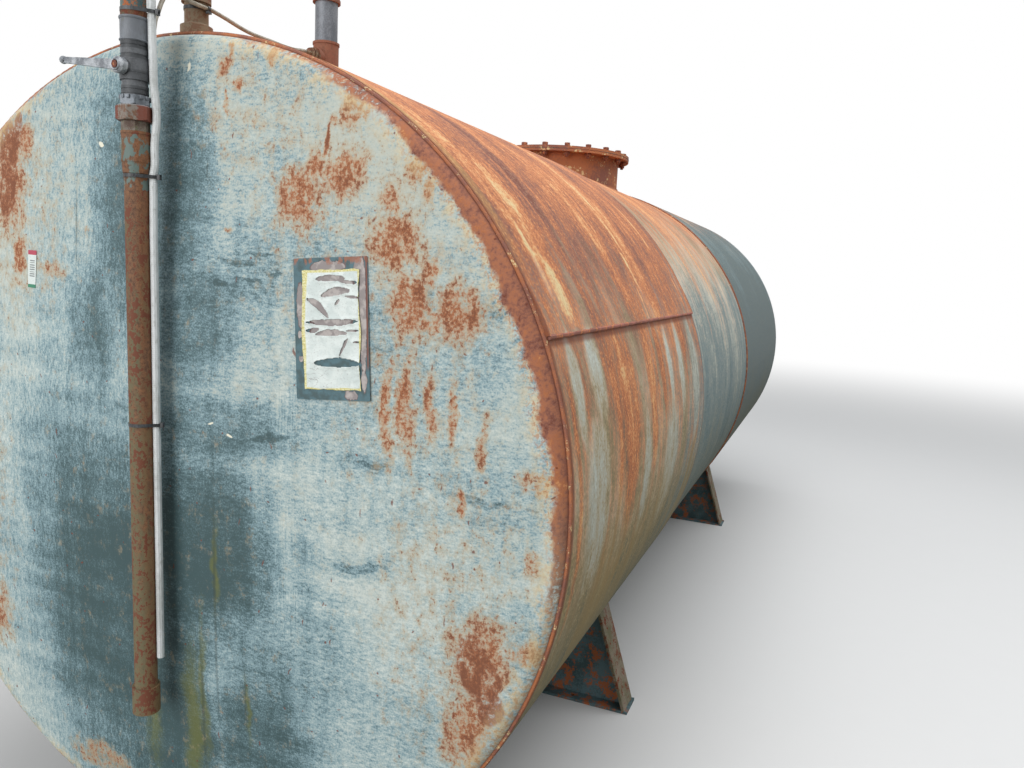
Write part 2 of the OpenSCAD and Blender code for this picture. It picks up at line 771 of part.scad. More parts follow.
// Plug in the tee's side port, in rings, with the small gland that the sensor's cable comes
// out of. A ring is its length and its radius, from the port outwards.
plug_rings = [[16, plug_r], [3, 16], [3, 12], [6, 17], [3, 12], [5, 14.5]];
gland_r = 9;
gland_l = 8;
gland_tip = 5;
module vent_port_plug() {
  spigot_l = plug_rings[0][0];
  ring_l = stack_height(plug_rings, len(plug_rings)) - spigot_l;
  color("#7a4630") place() translate([0, port_face, shell_r + port_z]) rotate([90, 0, 0]) {
    translate([0, 0, -spigot_l]) stack(plug_rings);
    translate([0, 0, ring_l]) cylinder(r = gland_r, h = gland_l, $fn = 6);
    translate([0, 0, ring_l + gland_l]) cylinder(r1 = gland_r - 1.5, r2 = cable_r + 1, h = gland_tip);
  }
}

module vent_pipe_lower() {
  color("#8d9193") place() translate([0, vent_y, 0])
    tube(vent_r, vent_bore_r, shell_r + tee_h - tee_seat + seat, vent_joint_z);
}
module vent_collar() {
  z0 = shell_r + vent_collar_z;
  rim = 2;
  rim_h = 8;
  color("#4b3a33") place() translate([0, vent_y, 0]) difference() {
    union() {
      translate([0, 0, z0]) cylinder(r = vent_collar_r - rim, h = vent_collar_l);
      translate([0, 0, z0]) cylinder(r = vent_collar_r, h = rim_h);
      translate([0, 0, z0 + vent_collar_l - rim_h]) cylinder(r = vent_collar_r, h = rim_h);
    }
    translate([0, 0, z0 - over]) cylinder(r = vent_r + seat, h = vent_collar_l + 2 * over);
  }
}
module vent_pipe_upper() {
  color("#8d9193") place() translate([0, vent_y, 0])
    tube(vent_r, vent_bore_r, vent_joint_z + seat, shell_r + vent_top_z);
}
module vent_cap() {
  z0 = shell_r + vent_top_z;
  sleeve = 30;
  wall = 4;
  rise = 26;
  color("#7f8385") place() translate([0, vent_y, z0]) rotate_extrude() polygon([
    [vent_r + seat, -sleeve], [vent_r + wall, -sleeve], [vent_r + wall, -wall],
    [cowl_r, -2 * wall], [cowl_r, -wall], [cowl_r * 0.8, rise * 0.4], [cowl_r * 0.4, rise * 0.85],
    [0, rise], [0, seat], [vent_r + seat, seat]
  ]);
}

// The label lies on the slope of the dished head.
module label() {
  reach = norm([label_x, label_z]);
  lean = asin(reach / crown_r);
  around = atan2(label_z, label_x);
  depth = crown_mid + crown_r * cos(lean);
  color("#2f5f66") place() translate([label_x, head_inset - depth, label_z])
    rotate([0, -around, 0]) rotate([0, 0, lean]) rotate([0, around, 0]) rotate([0, label_tilt, 0])
      translate([-label_w / 2, -label_t - seat, -label_h / 2]) cube([label_w, label_t, label_h]);
}

shell_course_near();
shell_course_middle();
shell_course_far();
head_near();
head_far();
saddle_near_web();
saddle_near_base();
saddle_near_strip_left();
saddle_near_strip_right();
saddle_far_web();
saddle_far_base();
saddle_far_strip_left();
saddle_far_strip_right();
manhole_neck();
manhole_flange();
manhole_cover();
suction_stub();
suction_elbow_rear();
crossover_pipe();
suction_elbow_front();
riser_upper_pipe();
riser_coupling();
valve_body();
valve_lever();
lever_bolt();
union_ring();
union_nut();
union_collar();
riser_socket();
riser_pipe();
riser_end_socket();
conduit();
sensor_cable();
cable_ties();
vent_tee();
vent_port_plug();
vent_pipe_lower();
vent_collar();
vent_pipe_upper();
vent_cap();
label();
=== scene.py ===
"""A weathered horizontal oil storage tank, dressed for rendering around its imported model.

Lengths are in metres. x is to the right of the near head, y runs from the near head to
the far one and z is up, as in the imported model. A height is measured from the tank's axis.
"""

import math

import bmesh
import bpy
from bpy.props import FloatProperty, FloatVectorProperty, IntProperty, PointerProperty
from mathutils import Matrix, Vector, noise


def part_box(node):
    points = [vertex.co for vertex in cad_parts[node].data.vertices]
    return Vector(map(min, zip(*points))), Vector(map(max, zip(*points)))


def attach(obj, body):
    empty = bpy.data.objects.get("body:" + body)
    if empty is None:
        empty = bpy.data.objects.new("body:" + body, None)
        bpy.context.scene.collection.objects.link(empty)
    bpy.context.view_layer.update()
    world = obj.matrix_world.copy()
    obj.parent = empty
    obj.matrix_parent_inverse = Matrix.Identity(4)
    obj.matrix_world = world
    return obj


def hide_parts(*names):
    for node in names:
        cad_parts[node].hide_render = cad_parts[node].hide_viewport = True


bl_info = {
    "name": "Weathered oil tank",
    "version": (1, 0, 0),
    "blender": (4, 5, 0),
    "location": "View3D > Sidebar > Tank",
    "description": "Paints and details a horizontal oil storage tank and sets its stage",
    "category": "Object",
}

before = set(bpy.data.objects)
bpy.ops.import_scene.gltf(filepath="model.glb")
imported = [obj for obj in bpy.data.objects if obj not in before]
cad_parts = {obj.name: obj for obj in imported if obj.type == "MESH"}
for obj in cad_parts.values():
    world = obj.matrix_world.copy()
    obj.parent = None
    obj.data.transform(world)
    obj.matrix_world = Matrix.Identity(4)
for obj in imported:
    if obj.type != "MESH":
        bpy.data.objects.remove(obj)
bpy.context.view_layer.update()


def tone(hexadecimal):
    """A colour written as six hexadecimal digits, in the renderer's linear values."""
    parts = [int(hexadecimal[i:i + 2], 16) / 255 for i in (0, 2, 4)]
    return tuple(p / 12.92 if p <= 0.04045 else ((p + 0.055) / 1.055) ** 2.4 for p in parts)


def middle(node):
    """The middle of a node's box."""
    low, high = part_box(node)
    return (low + high) / 2


def half_width(node):
    """Half of a node's size along x, the radius of a round one."""
    low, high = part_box(node)
    return (high.x - low.x) / 2


def finish_of(node):
    """The finish that a CAD node wears."""
    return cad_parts[node].material_slots[0].material


# Places that the pieces are set from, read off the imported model
NEAR_COURSE, FAR_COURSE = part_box("shell_course_near"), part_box("shell_course_far")
NEAR_EDGE, SEAM_NEAR = NEAR_COURSE[0].y, NEAR_COURSE[1].y
SEAM_FAR, FAR_EDGE = FAR_COURSE[0].y, FAR_COURSE[1].y
SHELL_R = NEAR_COURSE[1].x
MIDDLE_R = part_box("shell_course_middle")[1].x
AXIS_Z = middle("head_near").z
HEAD_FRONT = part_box("head_near")[0].y
RISER = middle("riser_pipe").xy
VENT_Y = middle("vent_cap").y
MANHOLE = middle("manhole_cover")
COUPLING_LOW, COUPLING_HIGH = (corner.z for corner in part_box("riser_coupling"))
SOCKET_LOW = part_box("riser_socket")[0].z
STEM = middle("lever_bolt")

# Places and sizes that the model's boxes don't give
HEAD_CROWN_R = 11.974                   # radius of the heads' shallow dish
RIM_RUST_R = 0.9390                     # where the rust of the near rim starts
LAP_NEAR, LAP_MIDDLE, LAP_FAR = 67.6, -62.1, -74.1   # angles of the laps from the top, in degrees
SADDLE_ARC = (137.0, 223.0)             # angles between which the saddles touch the shell
STUB_FRONT, STUB_TOP = -2.39, 2.09      # where the stub's paler rust ends
RISER_BACK = -2.38                      # where the crossover's side of the riser starts
SOCKET_Z, ELBOW_Z = 1.72, 2.13          # heights at which teal paint is left on the pipework
# Dark bands of the valve: partly its own black, partly painted shade in its grooves
VALVE_BLACK_AND_SHADE_BANDS = (                         # height, half width, how black it is
    (1.9505, 0.0075, 1.0), (1.928, 0.0040, 0.9), (1.8915, 0.0100, 0.55), (1.863, 0.0080, 0.85),
)
NUT_TOP = 1.8325
LABEL_W, LABEL_H = 0.171, 0.282
LABEL_TURN = math.radians(-4)
PLATE_FACE = 0.00075                    # half of the label plate's thickness
TIE_HEADS = ((2.018, 0.0485), (1.695, 0.0465), (1.174, 0.0453))   # height, way from the riser
STICKER_AT = (-0.413, 0.429)            # x and height
FILM_THICK = 0.0003
LEVEL = 1e-6                            # two places closer than this count as one


def head_face(x, height):
    """How far forward the near head's outer face is, at a place on it."""
    return HEAD_FRONT + HEAD_CROWN_R - math.sqrt(HEAD_CROWN_R ** 2 - x * x - height * height)


def colour(label, default, description):
    """A colour that a user may change."""
    return FloatVectorProperty(name=label, description=description, default=tone(default),
                               subtype="COLOR", size=3, min=0.0, max=1.0)


def length(label, default, description):
    """A length that a user may change."""
    return FloatProperty(name=label, description=description, default=default,
                         min=0.0, unit="LENGTH", precision=4)


def power(label, default, description):
    """A lamp's power that a user may change."""
    return FloatProperty(name=label, description=description, default=default,
                         min=0.0, unit="POWER")


class TankColours(bpy.types.PropertyGroup):
    """Colours of the tank's paint, rust and fittings."""

    pale: colour("Pale paint", "a8babb", "Chalked pale blue paint of the heads")
    warm: colour("Warm paint", "b5b9ae", "Paint with a faint yellow cast, high on the head")
    blue: colour("Blue paint", "86a0a8", "Blue of the brush marks")
    teal: colour("Teal paint", "5b747a", "Teal where the chalk has been washed off")
    deep: colour("Deep teal", "3f5558", "Darkest teal, low beside the riser")
    white: colour("White chalk", "ccd4cf", "Chalk that catches in the brush marks")
    algae: colour("Algae", "6a6d35", "Green growth in the damp streaks")
    line: colour("Dark runs", "37423c", "Dark lines where water has run down the head")
    rust: colour("Rust", "a8623c", "Rust in the patches")
    rust_dark: colour("Dark rust", "723a26", "Pits and cores of the rust")
    rust_light: colour("Light rust", "c48a5c", "Fresh orange edge of the rust")
    stain: colour("Stain", "b4a588", "Ochre stain round a rust patch")
    plum: colour("Plum rust", "85574a", "Old purple brown rust of the rim and the shell")
    rim: colour("Rim rust", "a56b50", "Smooth brown rust along the near rim")
    lap: colour("Lap edge", "a8685a", "Pink brown rust of the long laps' rolled edges")
    shell_rust: colour("Shell rust", "ae6c47", "Even rust of the shell's top")
    orange: colour("Orange rust", "cb8153", "Bright rust of the shell")
    apricot: colour("Apricot rust", "dca36f", "Palest rust of the shell")
    cream: colour("Cream", "dcc595", "Cream streaks of thin paint over rust")
    ochre: colour("Ochre grime", "96804e", "Ochre and green grime in the damp streaks")
    strip: colour("Saddle strip", "85796a", "Grey brown of the saddles' strips")
    fleck: colour("White fleck", "e6e2cf", "Flecks of old white paint on the head")
    grey: colour("Grey paint", "7d8985", "Grey paint of the shell's sides")
    chalk: colour("Shell chalk", "b5bbb2", "White streaks on the shell's sides")
    # Also the painted shade of the shell's underside and low sides
    moss_and_shade: colour("Olive grime", "66634a", "Olive grime on the ridge and the underside")


class TankMetals(bpy.types.PropertyGroup):
    """Colours of the pipework and its fittings."""

    pipe: colour("Rusty pipe", "71523f", "Brown rust of the riser")
    pipe_dark: colour("Pipe pits", "4f3a2e", "Dark pits of the riser")
    pipe_light: colour("Light pipe rust", "8d6547", "Dry light rust of the riser")
    olive: colour("Pipe grime", "6b6a50", "Olive grime on the pipework")
    red: colour("Red rust", "713a2b", "Fresh red rust of the pipework")
    orange: colour("Orange pipe rust", "96613a", "Orange rust along the riser's sides")
    stub: colour("Stub", "8f8069", "Beige brown of the stub on the ridge")
    vent_rust: colour("Vent rust", "9a6450", "Pink brown rust of the vent's tee")
    flake: colour("Teal flakes", "5f7570", "Teal paint that is left on the riser")
    zinc: colour("Zinc", "7f858c", "Weathered zinc")
    zinc_dark: colour("Dark zinc", "62686f", "Dull patches of the zinc")
    # Also the painted highlight along the union nut's top
    zinc_worn_and_highlight: colour("Light zinc", "a3a8ab", "Worn edges of the zinc")
    nut: colour("Union nut", "827a72", "Worn grey of the union nut")
    iron: colour("Black iron", "4c4e51", "Black coating of the valve")
    # Black of the valve's rings, also used as painted shade in its grooves
    iron_black_and_groove_shade: colour("Valve rings", "2b2e31", "Black rings and gaps of the valve")
    iron_light: colour("Worn iron", "63666a", "Worn edges of the valve's coating")
    sleeve: colour("Sleeve", "7c8188", "Grey sleeve of the coupling")
    sleeve_dark: colour("Dark sleeve", "6a6e74", "Dirt of the sleeve and the lever")
    alloy: colour("Cast alloy", "b0b4b9", "Cast metal of the lever")
    brass: colour("Collar", "7d756a", "Dull plating of the collar under the nut")
    conduit: colour("Conduit", "d2d5d6", "Weathered white plastic of the conduit")
    conduit_dull: colour("Dull conduit", "b9bcbb", "Grey side of the conduit")
    cable: colour("Cable", "a8a193", "Grey jacket of the sensor cable")
    cable_dark: colour("Dirty cable", "877f70", "Dirt of the sensor cable")
    tie: colour("Tie", "1d1f21", "Black plastic of the cable ties")
    plate: colour("Label plate", "4d6c75", "Teal backing plate of the label")
    film: colour("Label film", "d9e1de", "White film of the label")
    film_dull: colour("Dull film", "bcc8c6", "Dirty clouds of the film")
    border: colour("Label border", "c9c078", "Yellow border of the label")
    border_pale: colour("Pale border", "e4dfae", "Faded parts of the border")
    glue: colour("Label glue", "938b8a", "Grey lilac glue that the film has left")
    glue_light: colour("Light glue", "b5adaa", "Dry parts of the glue")
    # Also the painted shade along the film's cracks
    glue_edge_and_crack_shade: colour("Glue edge", "5d4645", "Dark red outline of the glue")
    print_grey: colour("Bars", "5d6164", "Plain grey bars of the sticker")
    print_red: colour("Red band", "b2485a", "Red band of the sticker")
    print_green: colour("Green band", "3d8267", "Green band of the sticker")


class TankSizes(bpy.types.PropertyGroup):
    """Sizes of the weld beads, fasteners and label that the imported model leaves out."""

    seam_bead: length("Seam bead", 0.004, "Radius of the weld bead at a round seam")
    lap_bead: length("Lap bead", 0.0055, "Radius of the rolled edge along a long lap")
    fillet: length("Fillet", 0.006, "Radius of the weld bead round a saddle, neck or stub")
    bolt_size: length("Bolt", 0.024, "Width of a manhole bolt's head across its flats")
    bolt_ring: length("Bolt circle", 0.325, "Radius of the circle that the manhole bolts stand on")
    bolts: IntProperty(name="Bolts", description="Number of bolts round the manhole",
                       default=20, min=4)
    film_grid: length("Film grid", 0.0016, "Size of the squares that the label's film is cut from")
    film_lift: length("Film lift", 0.0022, "Height of the label's film over its plate")
    sticker_w: length("Sticker width", 0.030, "Width of the small sticker left of the riser")
    sticker_h: length("Sticker height", 0.088, "Height of the small sticker left of the riser")


class TankStage(bpy.types.PropertyGroup):
    """Camera, lamps and floor."""

    lens: FloatProperty(name="Lens", description="Focal length of the camera",
                        default=27.544, min=1.0, unit="CAMERA")
    world: FloatProperty(name="Sky", description="Strength of the even light",
                         default=0.55, min=0.0)
    top: power("Top lamp", 395.0, "Power of the soft lamp overhead")
    front: power("Front lamp", 308.0, "Power of the soft lamp before the near head")
    floor: colour("Floor", "dcdcdc", "Pale floor")
    bounce: colour("Floor's bounce", "8f8d86", "Colour that the floor throws back up on the tank")


def feed(tree, socket, value):
    """Links an input to the socket or the Signal that it is given, or sets its value."""
    if isinstance(value, Signal):
        value = value.socket
    if isinstance(value, bpy.types.NodeSocket):
        tree.links.new(value, socket)
    elif socket.type == "RGBA":
        socket.default_value = (*tuple(value)[:3], 1.0)
    else:
        socket.default_value = value


def add_node(tree, kind, inputs=None, **settings):
    """Adds a node to a tree, with its settings and its inputs."""
    made = tree.nodes.new(kind)
    for key, value in settings.items():
        setattr(made, key, value)
    for key, value in (inputs or {}).items():
        feed(tree, made.inputs[key], value)
    return made


class Signal:
    """A number that changes over the surface, so a pattern can be written as a plain sum."""

    def __init__(self, finish, socket):
        self.finish, self.socket = finish, socket

    def __add__(self, other):
        return self.finish.math("ADD", self, other)

    __radd__ = __add__

    def __sub__(self, other):
        return self.finish.math("SUBTRACT", self, other)

    def __rsub__(self, other):
        return self.finish.math("SUBTRACT", other, self)

    def __mul__(self, other):
        return self.finish.math("MULTIPLY", self, other)

    def __truediv__(self, other):
        return self.finish.math("DIVIDE", self, other)

    def swing(self, amount):
        """How far the number is over or under a half, times an amount."""
        return (self - 0.5) * amount

    def fade(self, start, end):
        """0 before start, 1 after end and a smooth step between; start may be the larger."""
        inputs = {"Value": self, "From Min": start, "From Max": end}
        made = self.finish.node("ShaderNodeMapRange", inputs, interpolation_type="SMOOTHSTEP")
        return Signal(self.finish, made.outputs["Result"])

    def least(self, other):
        return self.finish.math("MINIMUM", self, other)

    def most(self, other):
        return self.finish.math("MAXIMUM", self, other)

    def size(self):
        return self.finish.math("ABSOLUTE", self)


class Finish:
    """One material. Every pattern in it reads Object coordinates, in metres.

    A pattern with two scales lies flat on the plane that lay() sets; one with three is solid."""

    def __init__(self, name):
        self.material = bpy.data.materials.new(name)
        self.material.use_nodes = True
        self.tree = self.material.node_tree
        self.shader = self.tree.nodes["Principled BSDF"]
        self.at = self.node("ShaderNodeTexCoord").outputs["Object"]
        parts = self.node("ShaderNodeSeparateXYZ", {0: self.at}).outputs
        self.x, self.y, self.z = (Signal(self, parts[i]) for i in range(3))
        self.height = self.z - AXIS_Z
        self.plane = self.shade = None

    def node(self, kind, inputs=None, **settings):
        return add_node(self.tree, kind, inputs, **settings)

    def math(self, operation, *parts):
        made = self.node("ShaderNodeMath", dict(enumerate(parts)), operation=operation)
        return Signal(self, made.outputs[0])

    def vector(self, operation, *parts, output="Vector"):
        made = self.node("ShaderNodeVectorMath", dict(enumerate(parts)), operation=operation)
        return made.outputs[output]

    def lay(self, across, up):
        """Sets the plane of the flat patterns from two numbers."""
        self.plane = self.node("ShaderNodeCombineXYZ", {0: across, 1: up, 2: 0.0}).outputs[0]

    def toward(self, direction, origin):
        """Distance from a point, measured along a direction."""
        way = self.vector("DOT_PRODUCT", self.at, tuple(direction), output="Value")
        return Signal(self, way) - Vector(direction).dot(Vector(origin))

    def scaled(self, scale, seed, at):
        """Where a texture is read: scale is waves to the metre, a seed moves it elsewhere."""
        flat = len(scale) == 2
        at = at or (self.plane if flat else self.at)
        spread = (*scale, 0.0) if flat else tuple(scale)
        shift = (seed, seed * 1.7, 0.0 if flat else seed * 2.3)
        return "2D" if flat else "3D", self.vector("MULTIPLY_ADD", at, spread, shift)

    def noise(self, scale, seed=0.0, detail=3.0, rough=0.55, at=None, output="Fac"):
        """Noise from 0 to 1 that is mostly near a half."""
        space, place = self.scaled(scale, seed, at)
        made = self.node("ShaderNodeTexNoise", {"Vector": place, "Scale": 1.0, "Detail": detail,
                                                "Roughness": rough}, noise_dimensions=space)
        return Signal(self, made.outputs["Fac"]) if output == "Fac" else made.outputs[output]

    def bent(self, size, scale, seed, at=None):
        """Flat coordinates, pushed about by up to half of size."""
        at = at or self.plane
        swirl = self.noise((scale, scale), seed, at=at, output="Color")
        push = self.vector("SUBTRACT", swirl, (0.5, 0.5, 0.5))
        return self.vector("MULTIPLY_ADD", push, (size, size, 0.0), at)

    def cells(self, scale, seed, at):
        """Distance to the nearest scattered point, and that point's own random number."""
        space, place = self.scaled(scale, seed, at)
        made = self.node("ShaderNodeTexVoronoi", {"Vector": place, "Scale": 1.0},
                         voronoi_dimensions=space)
        chance = self.node("ShaderNodeSeparateColor", {0: made.outputs["Color"]})
        return Signal(self, made.outputs["Distance"]), Signal(self, chance.outputs[0])

    def spots(self, marks, at):
        """How far a point is inside the nearest oval mark: 1 at its middle, 0 at its edge.

        A mark is its place on the plane, half width, half height and strength."""
        nearest = None
        for across, up, half_w, half_h, strength in marks:
            place = self.vector("MULTIPLY_ADD", at, (1 / half_w, 1 / half_h, 0),
                                (-across / half_w, -up / half_h, max(1 - strength, 0)))
            away = Signal(self, self.vector("LENGTH", place, output="Value"))
            nearest = away if nearest is None else nearest.least(away)
        return (1.0 - nearest).most(0.0)

    def mix(self, amount, a, b):
        return self.node("ShaderNodeMix", {0: amount, 6: a, 7: b}, data_type="RGBA").outputs[2]

    def ramp(self, value, *stops):
        """Colours along a number; a stop is its place and its colour."""
        made = self.node("ShaderNodeValToRGB", {0: value})
        elements = made.color_ramp.elements
        while len(elements) < len(stops):
            elements.new(1.0)
        for element, (place, shade) in zip(elements, stops):
            element.position = place
            element.color = (*tuple(shade)[:3], 1.0)
        return made.outputs["Color"]

    def coat(self, amount, colour):
        """Lays a colour over the shade so far, wherever amount is above 0."""
        self.shade = self.mix(amount, self.shade, colour)

    def done(self, rough, *reliefs, metal=0.0, specular=0.4):
        """Sets the shader. Each relief is a height in metres, and how much of it shows."""
        inputs = {"Base Color": self.shade, "Roughness": rough, "Metallic": metal,
                  "Specular IOR Level": specular}
        for height, amount in reliefs:
            bump = {"Height": height, "Distance": 1.0, "Strength": amount}
            if "Normal" in inputs:
                bump["Normal"] = inputs["Normal"]
            inputs["Normal"] = self.node("ShaderNodeBump", bump).outputs["Normal"]
        for key, value in inputs.items():
            feed(self.tree, self.shader.inputs[key], value)
        return self.material


def dress(material, *nodes):
    """Gives CAD nodes a finish in place of their plain colour."""
    for node in nodes:
        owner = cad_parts[node]
        if not owner.material_slots:
            owner.data.materials.append(material)
        for place in owner.material_slots:
            place.material = material


def piece(name, bm, material, body="tank", crease=35.0):
    """Turns a finished bmesh into a piece of the tank."""
    mesh = bpy.data.meshes.new(name)
    for face in bm.faces:
        face.smooth = True
    bm.to_mesh(mesh)
    bm.free()
    mesh.set_sharp_from_angle(angle=math.radians(crease))
    mesh.materials.append(material)
    made = bpy.data.objects.new(name, mesh)
    bpy.context.scene.collection.objects.link(made)
    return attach(made, body)


def rounded(bm, edges, offset, segments=2):
    """Rounds some edges of a bmesh."""
    bmesh.ops.bevel(bm, geom=list(edges), offset=offset, segments=segments, profile=0.5,
                    affect="EDGES", material=-1)


def turned(profile, centre, steps, lean=0.0):
    """A bmesh spun from a closed profile of radii and heights, then leant about x and placed."""
    bm = bmesh.new()
    verts = [bm.verts.new((r, 0.0, z)) for r, z in profile]
    edges = [bm.edges.new(pair) for pair in zip(verts, verts[1:] + verts[:1])]
    bmesh.ops.spin(bm, geom=verts + edges, cent=(0, 0, 0), axis=(0, 0, 1),
                   angle=math.tau, steps=steps, use_merge=True)
    bmesh.ops.transform(bm, matrix=Matrix.Translation(centre) @ Matrix.Rotation(lean, 4, "X"),
                        verts=bm.verts)
    bmesh.ops.remove_doubles(bm, verts=bm.verts, dist=LEVEL)
    bmesh.ops.recalc_face_normals(bm, faces=bm.faces)
    return bm


def ring_outline(radius, sides, flat=1.0):
    """Points of a round outline, squashed by flat."""
    turns = [math.tau * i / sides for i in range(sides)]
    return [(radius * math.cos(turn), flat * radius * math.sin(turn)) for turn in turns]


def swept(path, outline, sizes=None, looped=False, up=(0, 0, 1), bm=None):
    """A bmesh that carries a closed outline along a path."""
    whole = bm or bmesh.new()
    path = [Vector(p) for p in path]
    sizes = sizes or [1.0] * len(path)
    up = Vector(up)
    ring = [whole.verts.new() for _ in outline]
    first = edges = [whole.edges.new(pair) for pair in zip(ring, ring[1:] + ring[:1])]
    for i, point in enumerate(path):
        before = path[i - 1] if i or looped else point
        after = path[(i + 1) % len(path)] if i < len(path) - 1 or looped else point
        along = (after - before).normalized()
        up = (up - along * up.dot(along)).normalized()
        side = along.cross(up)
        if i:
            fresh = bmesh.ops.extrude_edge_only(whole, edges=edges)["geom"]
            new = {v for v in fresh if isinstance(v, bmesh.types.BMVert)}
            ring = [next(e.other_vert(v) for e in v.link_edges if e.other_vert(v) in new)
                    for v in ring]
            edges = [e for e in fresh
                     if isinstance(e, bmesh.types.BMEdge) and new.issuperset(e.verts)]
        for vert, (across, out) in zip(ring, outline):
            vert.co = point + (side * across + up * out) * sizes[i]
    join = bmesh.ops.bridge_loops if looped else bmesh.ops.holes_fill
    join(whole, edges=first + edges)
    bmesh.ops.recalc_face_normals(whole, faces=whole.faces)
    return whole


def lumpy(path, seed, amount, pitch):
    """Uneven sizes along a hand-laid weld: one ripple for each pitch, and slow swells."""
    sizes, run = [], 0.0
    for i, point in enumerate(path):
        run += (Vector(point) - Vector(path[max(i - 1, 0)])).length
        sizes.append(1 + amount * (0.5 * math.sin(math.tau * run / pitch)
                                   + noise.noise(Vector((run * 9, seed, 0.5)))))
    return sizes


def round_shell(radius, turn, y):
    """A place at a radius from the axis; turn is from the top to the right."""
    return radius * math.sin(turn), y, AXIS_Z + radius * math.cos(turn)


def round_path(radius, y, step, start=0.0, stop=360.0):
    """Points round the shell at one place along it, with the angles in degrees."""
    count = int((stop - start) / step)
    last = count if stop - start < 360 else count - 1
    return [round_shell(radius, math.radians(start + (stop - start) * i / count), y)
            for i in range(last + 1)]


def on_head(*marks):
    """Marks on the near head, given in millimetres."""
    return [(*(size / 1000 for size in sizes), strength) for *sizes, strength in marks]


# Marks on the near head: x, height over the axis, half width, half height, strength
RUST_MARKS = on_head(
    # main patch above the label
    (360, 610, 75, 85, 1), (345, 600, 35, 60, 1.1), (390, 670, 40, 45, 1), (455, 655, 75, 60, 0.95),
    # thin dark run over it, and small patches high up
    (410, 715, 8, 50, 1.1), (457, 765, 35, 50, 0.9), (420, 755, 18, 22, 1), (490, 760, 20, 30, 0.9),
    (150, 865, 35, 30, 0.85), (195, 820, 14, 20, 1.1), (170, 790, 7, 30, 1), (275, 875, 14, 35, 1),
    (165, 895, 14, 25, 1),
    # patch right of the label's top
    (575, 515, 75, 85, 1.05), (570, 600, 40, 60, 0.75), (615, 655, 35, 45, 1),
    (646, 625, 28, 40, 0.9), (606, 405, 55, 90, 1), (652, 375, 40, 40, 0.95),
    (647, 467, 25, 50, 0.85),
    # speckled patch near the rim
    (720, 400, 80, 80, 0.95),
    # vertical runs under it
    (575, 200, 20, 160, 0.72), (615, 210, 28, 150, 0.68), (665, 220, 18, 100, 0.62),
    (710, 210, 14, 80, 0.9), (778, 158, 22, 90, 0.8), (739, 36, 13, 40, 0.9),
    (885, 100, 50, 45, 0.95), (890, -60, 30, 50, 0.9),
    # strong patch low at the right
    (790, -285, 90, 130, 1.05), (880, -235, 60, 40, 0.95), (775, -430, 85, 150, 0.72),
    # strong patch at the left
    (-495, 650, 85, 190, 1.1), (-440, 720, 35, 50, 1.1), (-455, 460, 30, 80, 0.8),
    (-340, 425, 80, 35, 0.5), (-233, 524, 12, 14, 1), (180, 535, 12, 12, 1.1),
    (150, -720, 80, 60, 0.5),
    # the side that the photograph doesn't show
    (-720, 300, 100, 140, 0.95), (-800, -220, 80, 160, 0.9), (-600, -480, 70, 120, 0.85),
    (420, -740, 120, 70, 0.85), (-250, -780, 140, 60, 0.85),
)
SPECKLE_ZONES = on_head(
    (420, 560, 240, 300, 1), (600, 350, 220, 420, 1), (720, -200, 220, 500, 0.8),
    (250, 780, 220, 200, 0.9), (-450, 550, 220, 340, 0.9), (-700, -100, 260, 600, 0.9),
)
TEAL_ZONES = on_head(
    # band beside the riser, and down the middle of the head
    (40, 620, 150, 360, 0.62), (100, 300, 150, 220, 0.8), (140, 115, 260, 120, 0.85),
    (120, -140, 300, 340, 1.35), (20, -620, 260, 520, 1.2), (260, -600, 260, 360, 0.72),
    (340, -160, 140, 200, 0.4), (-200, -400, 400, 620, 0.9), (-120, 600, 120, 380, 0.72),
    (-200, 300, 100, 200, 0.55),
)
DEEP_ZONES = on_head(
    (60, -60, 120, 240, 0.8), (140, -100, 200, 280, 0.8), (30, -500, 130, 420, 1),
    (-100, -400, 260, 500, 0.7),
)
ALGAE_RUNS = on_head(
    (75, -620, 45, 340, 1.2), (110, -500, 18, 300, 0.8), (148, -200, 12, 160, 0.8),
    (232, -520, 12, 140, 0.9), (-50, -500, 40, 400, 0.8),
)
DARK_RUNS = on_head(
    (149, -280, 6, 420, 0.9), (122, 659, 4, 30, 1), (105, -550, 7, 260, 0.8),
    (-262, 537, 5, 144, 0.75), (228, -500, 5, 100, 0.8),
)
TEAL_SCUFFS = on_head(
    (205, 470, 55, 8, 1), (255, 490, 45, 6, 0.9), (165, 412, 22, 10, 1), (235, 432, 45, 6, 0.9),
    (300, 450, 30, 6, 0.8), (760, 45, 80, 12, 1), (520, -130, 80, 12, 0.9), (540, 90, 45, 8, 0.9),
    (305, 110, 60, 8, 0.8),
)
RUST_CORES = on_head(
    (770, -285, 38, 75, 1), (800, -320, 36, 60, 1), (820, -375, 30, 40, 1), (-500, 660, 40, 130, 1),
    (-465, 745, 20, 45, 1), (410, 725, 4, 30, 1),
)
BLUE_ZONES = on_head(
    (820, 20, 100, 140, 0.8), (520, 90, 140, 30, 0.8), (500, -120, 170, 45, 0.9),
    (750, 75, 90, 30, 0.7), (300, 140, 130, 70, 0.7), (787, 402, 40, 40, 1.2),
    (420, -350, 180, 200, 0.6), (240, 420, 120, 160, 0.9),
)
PALE_STROKES = on_head(
    (348, -100, 35, 100, 0.9), (345, -250, 50, 90, 0.9), (335, 170, 50, 90, 0.8),
)
WHITE_FLECKS = on_head(
    (-184, 715, 6, 9, 1), (140, 120, 8, 4, 1), (197, 109, 10, 4, 1), (50, 880, 4, 12, 1),
)


def down_shell(*marks):
    """Marks on the unrolled shell, from places along it and angles from its top in degrees."""
    degree = math.radians(1) * SHELL_R
    return [(along, angle * degree, half, reach * degree, strength)
            for along, angle, half, reach, strength in marks]


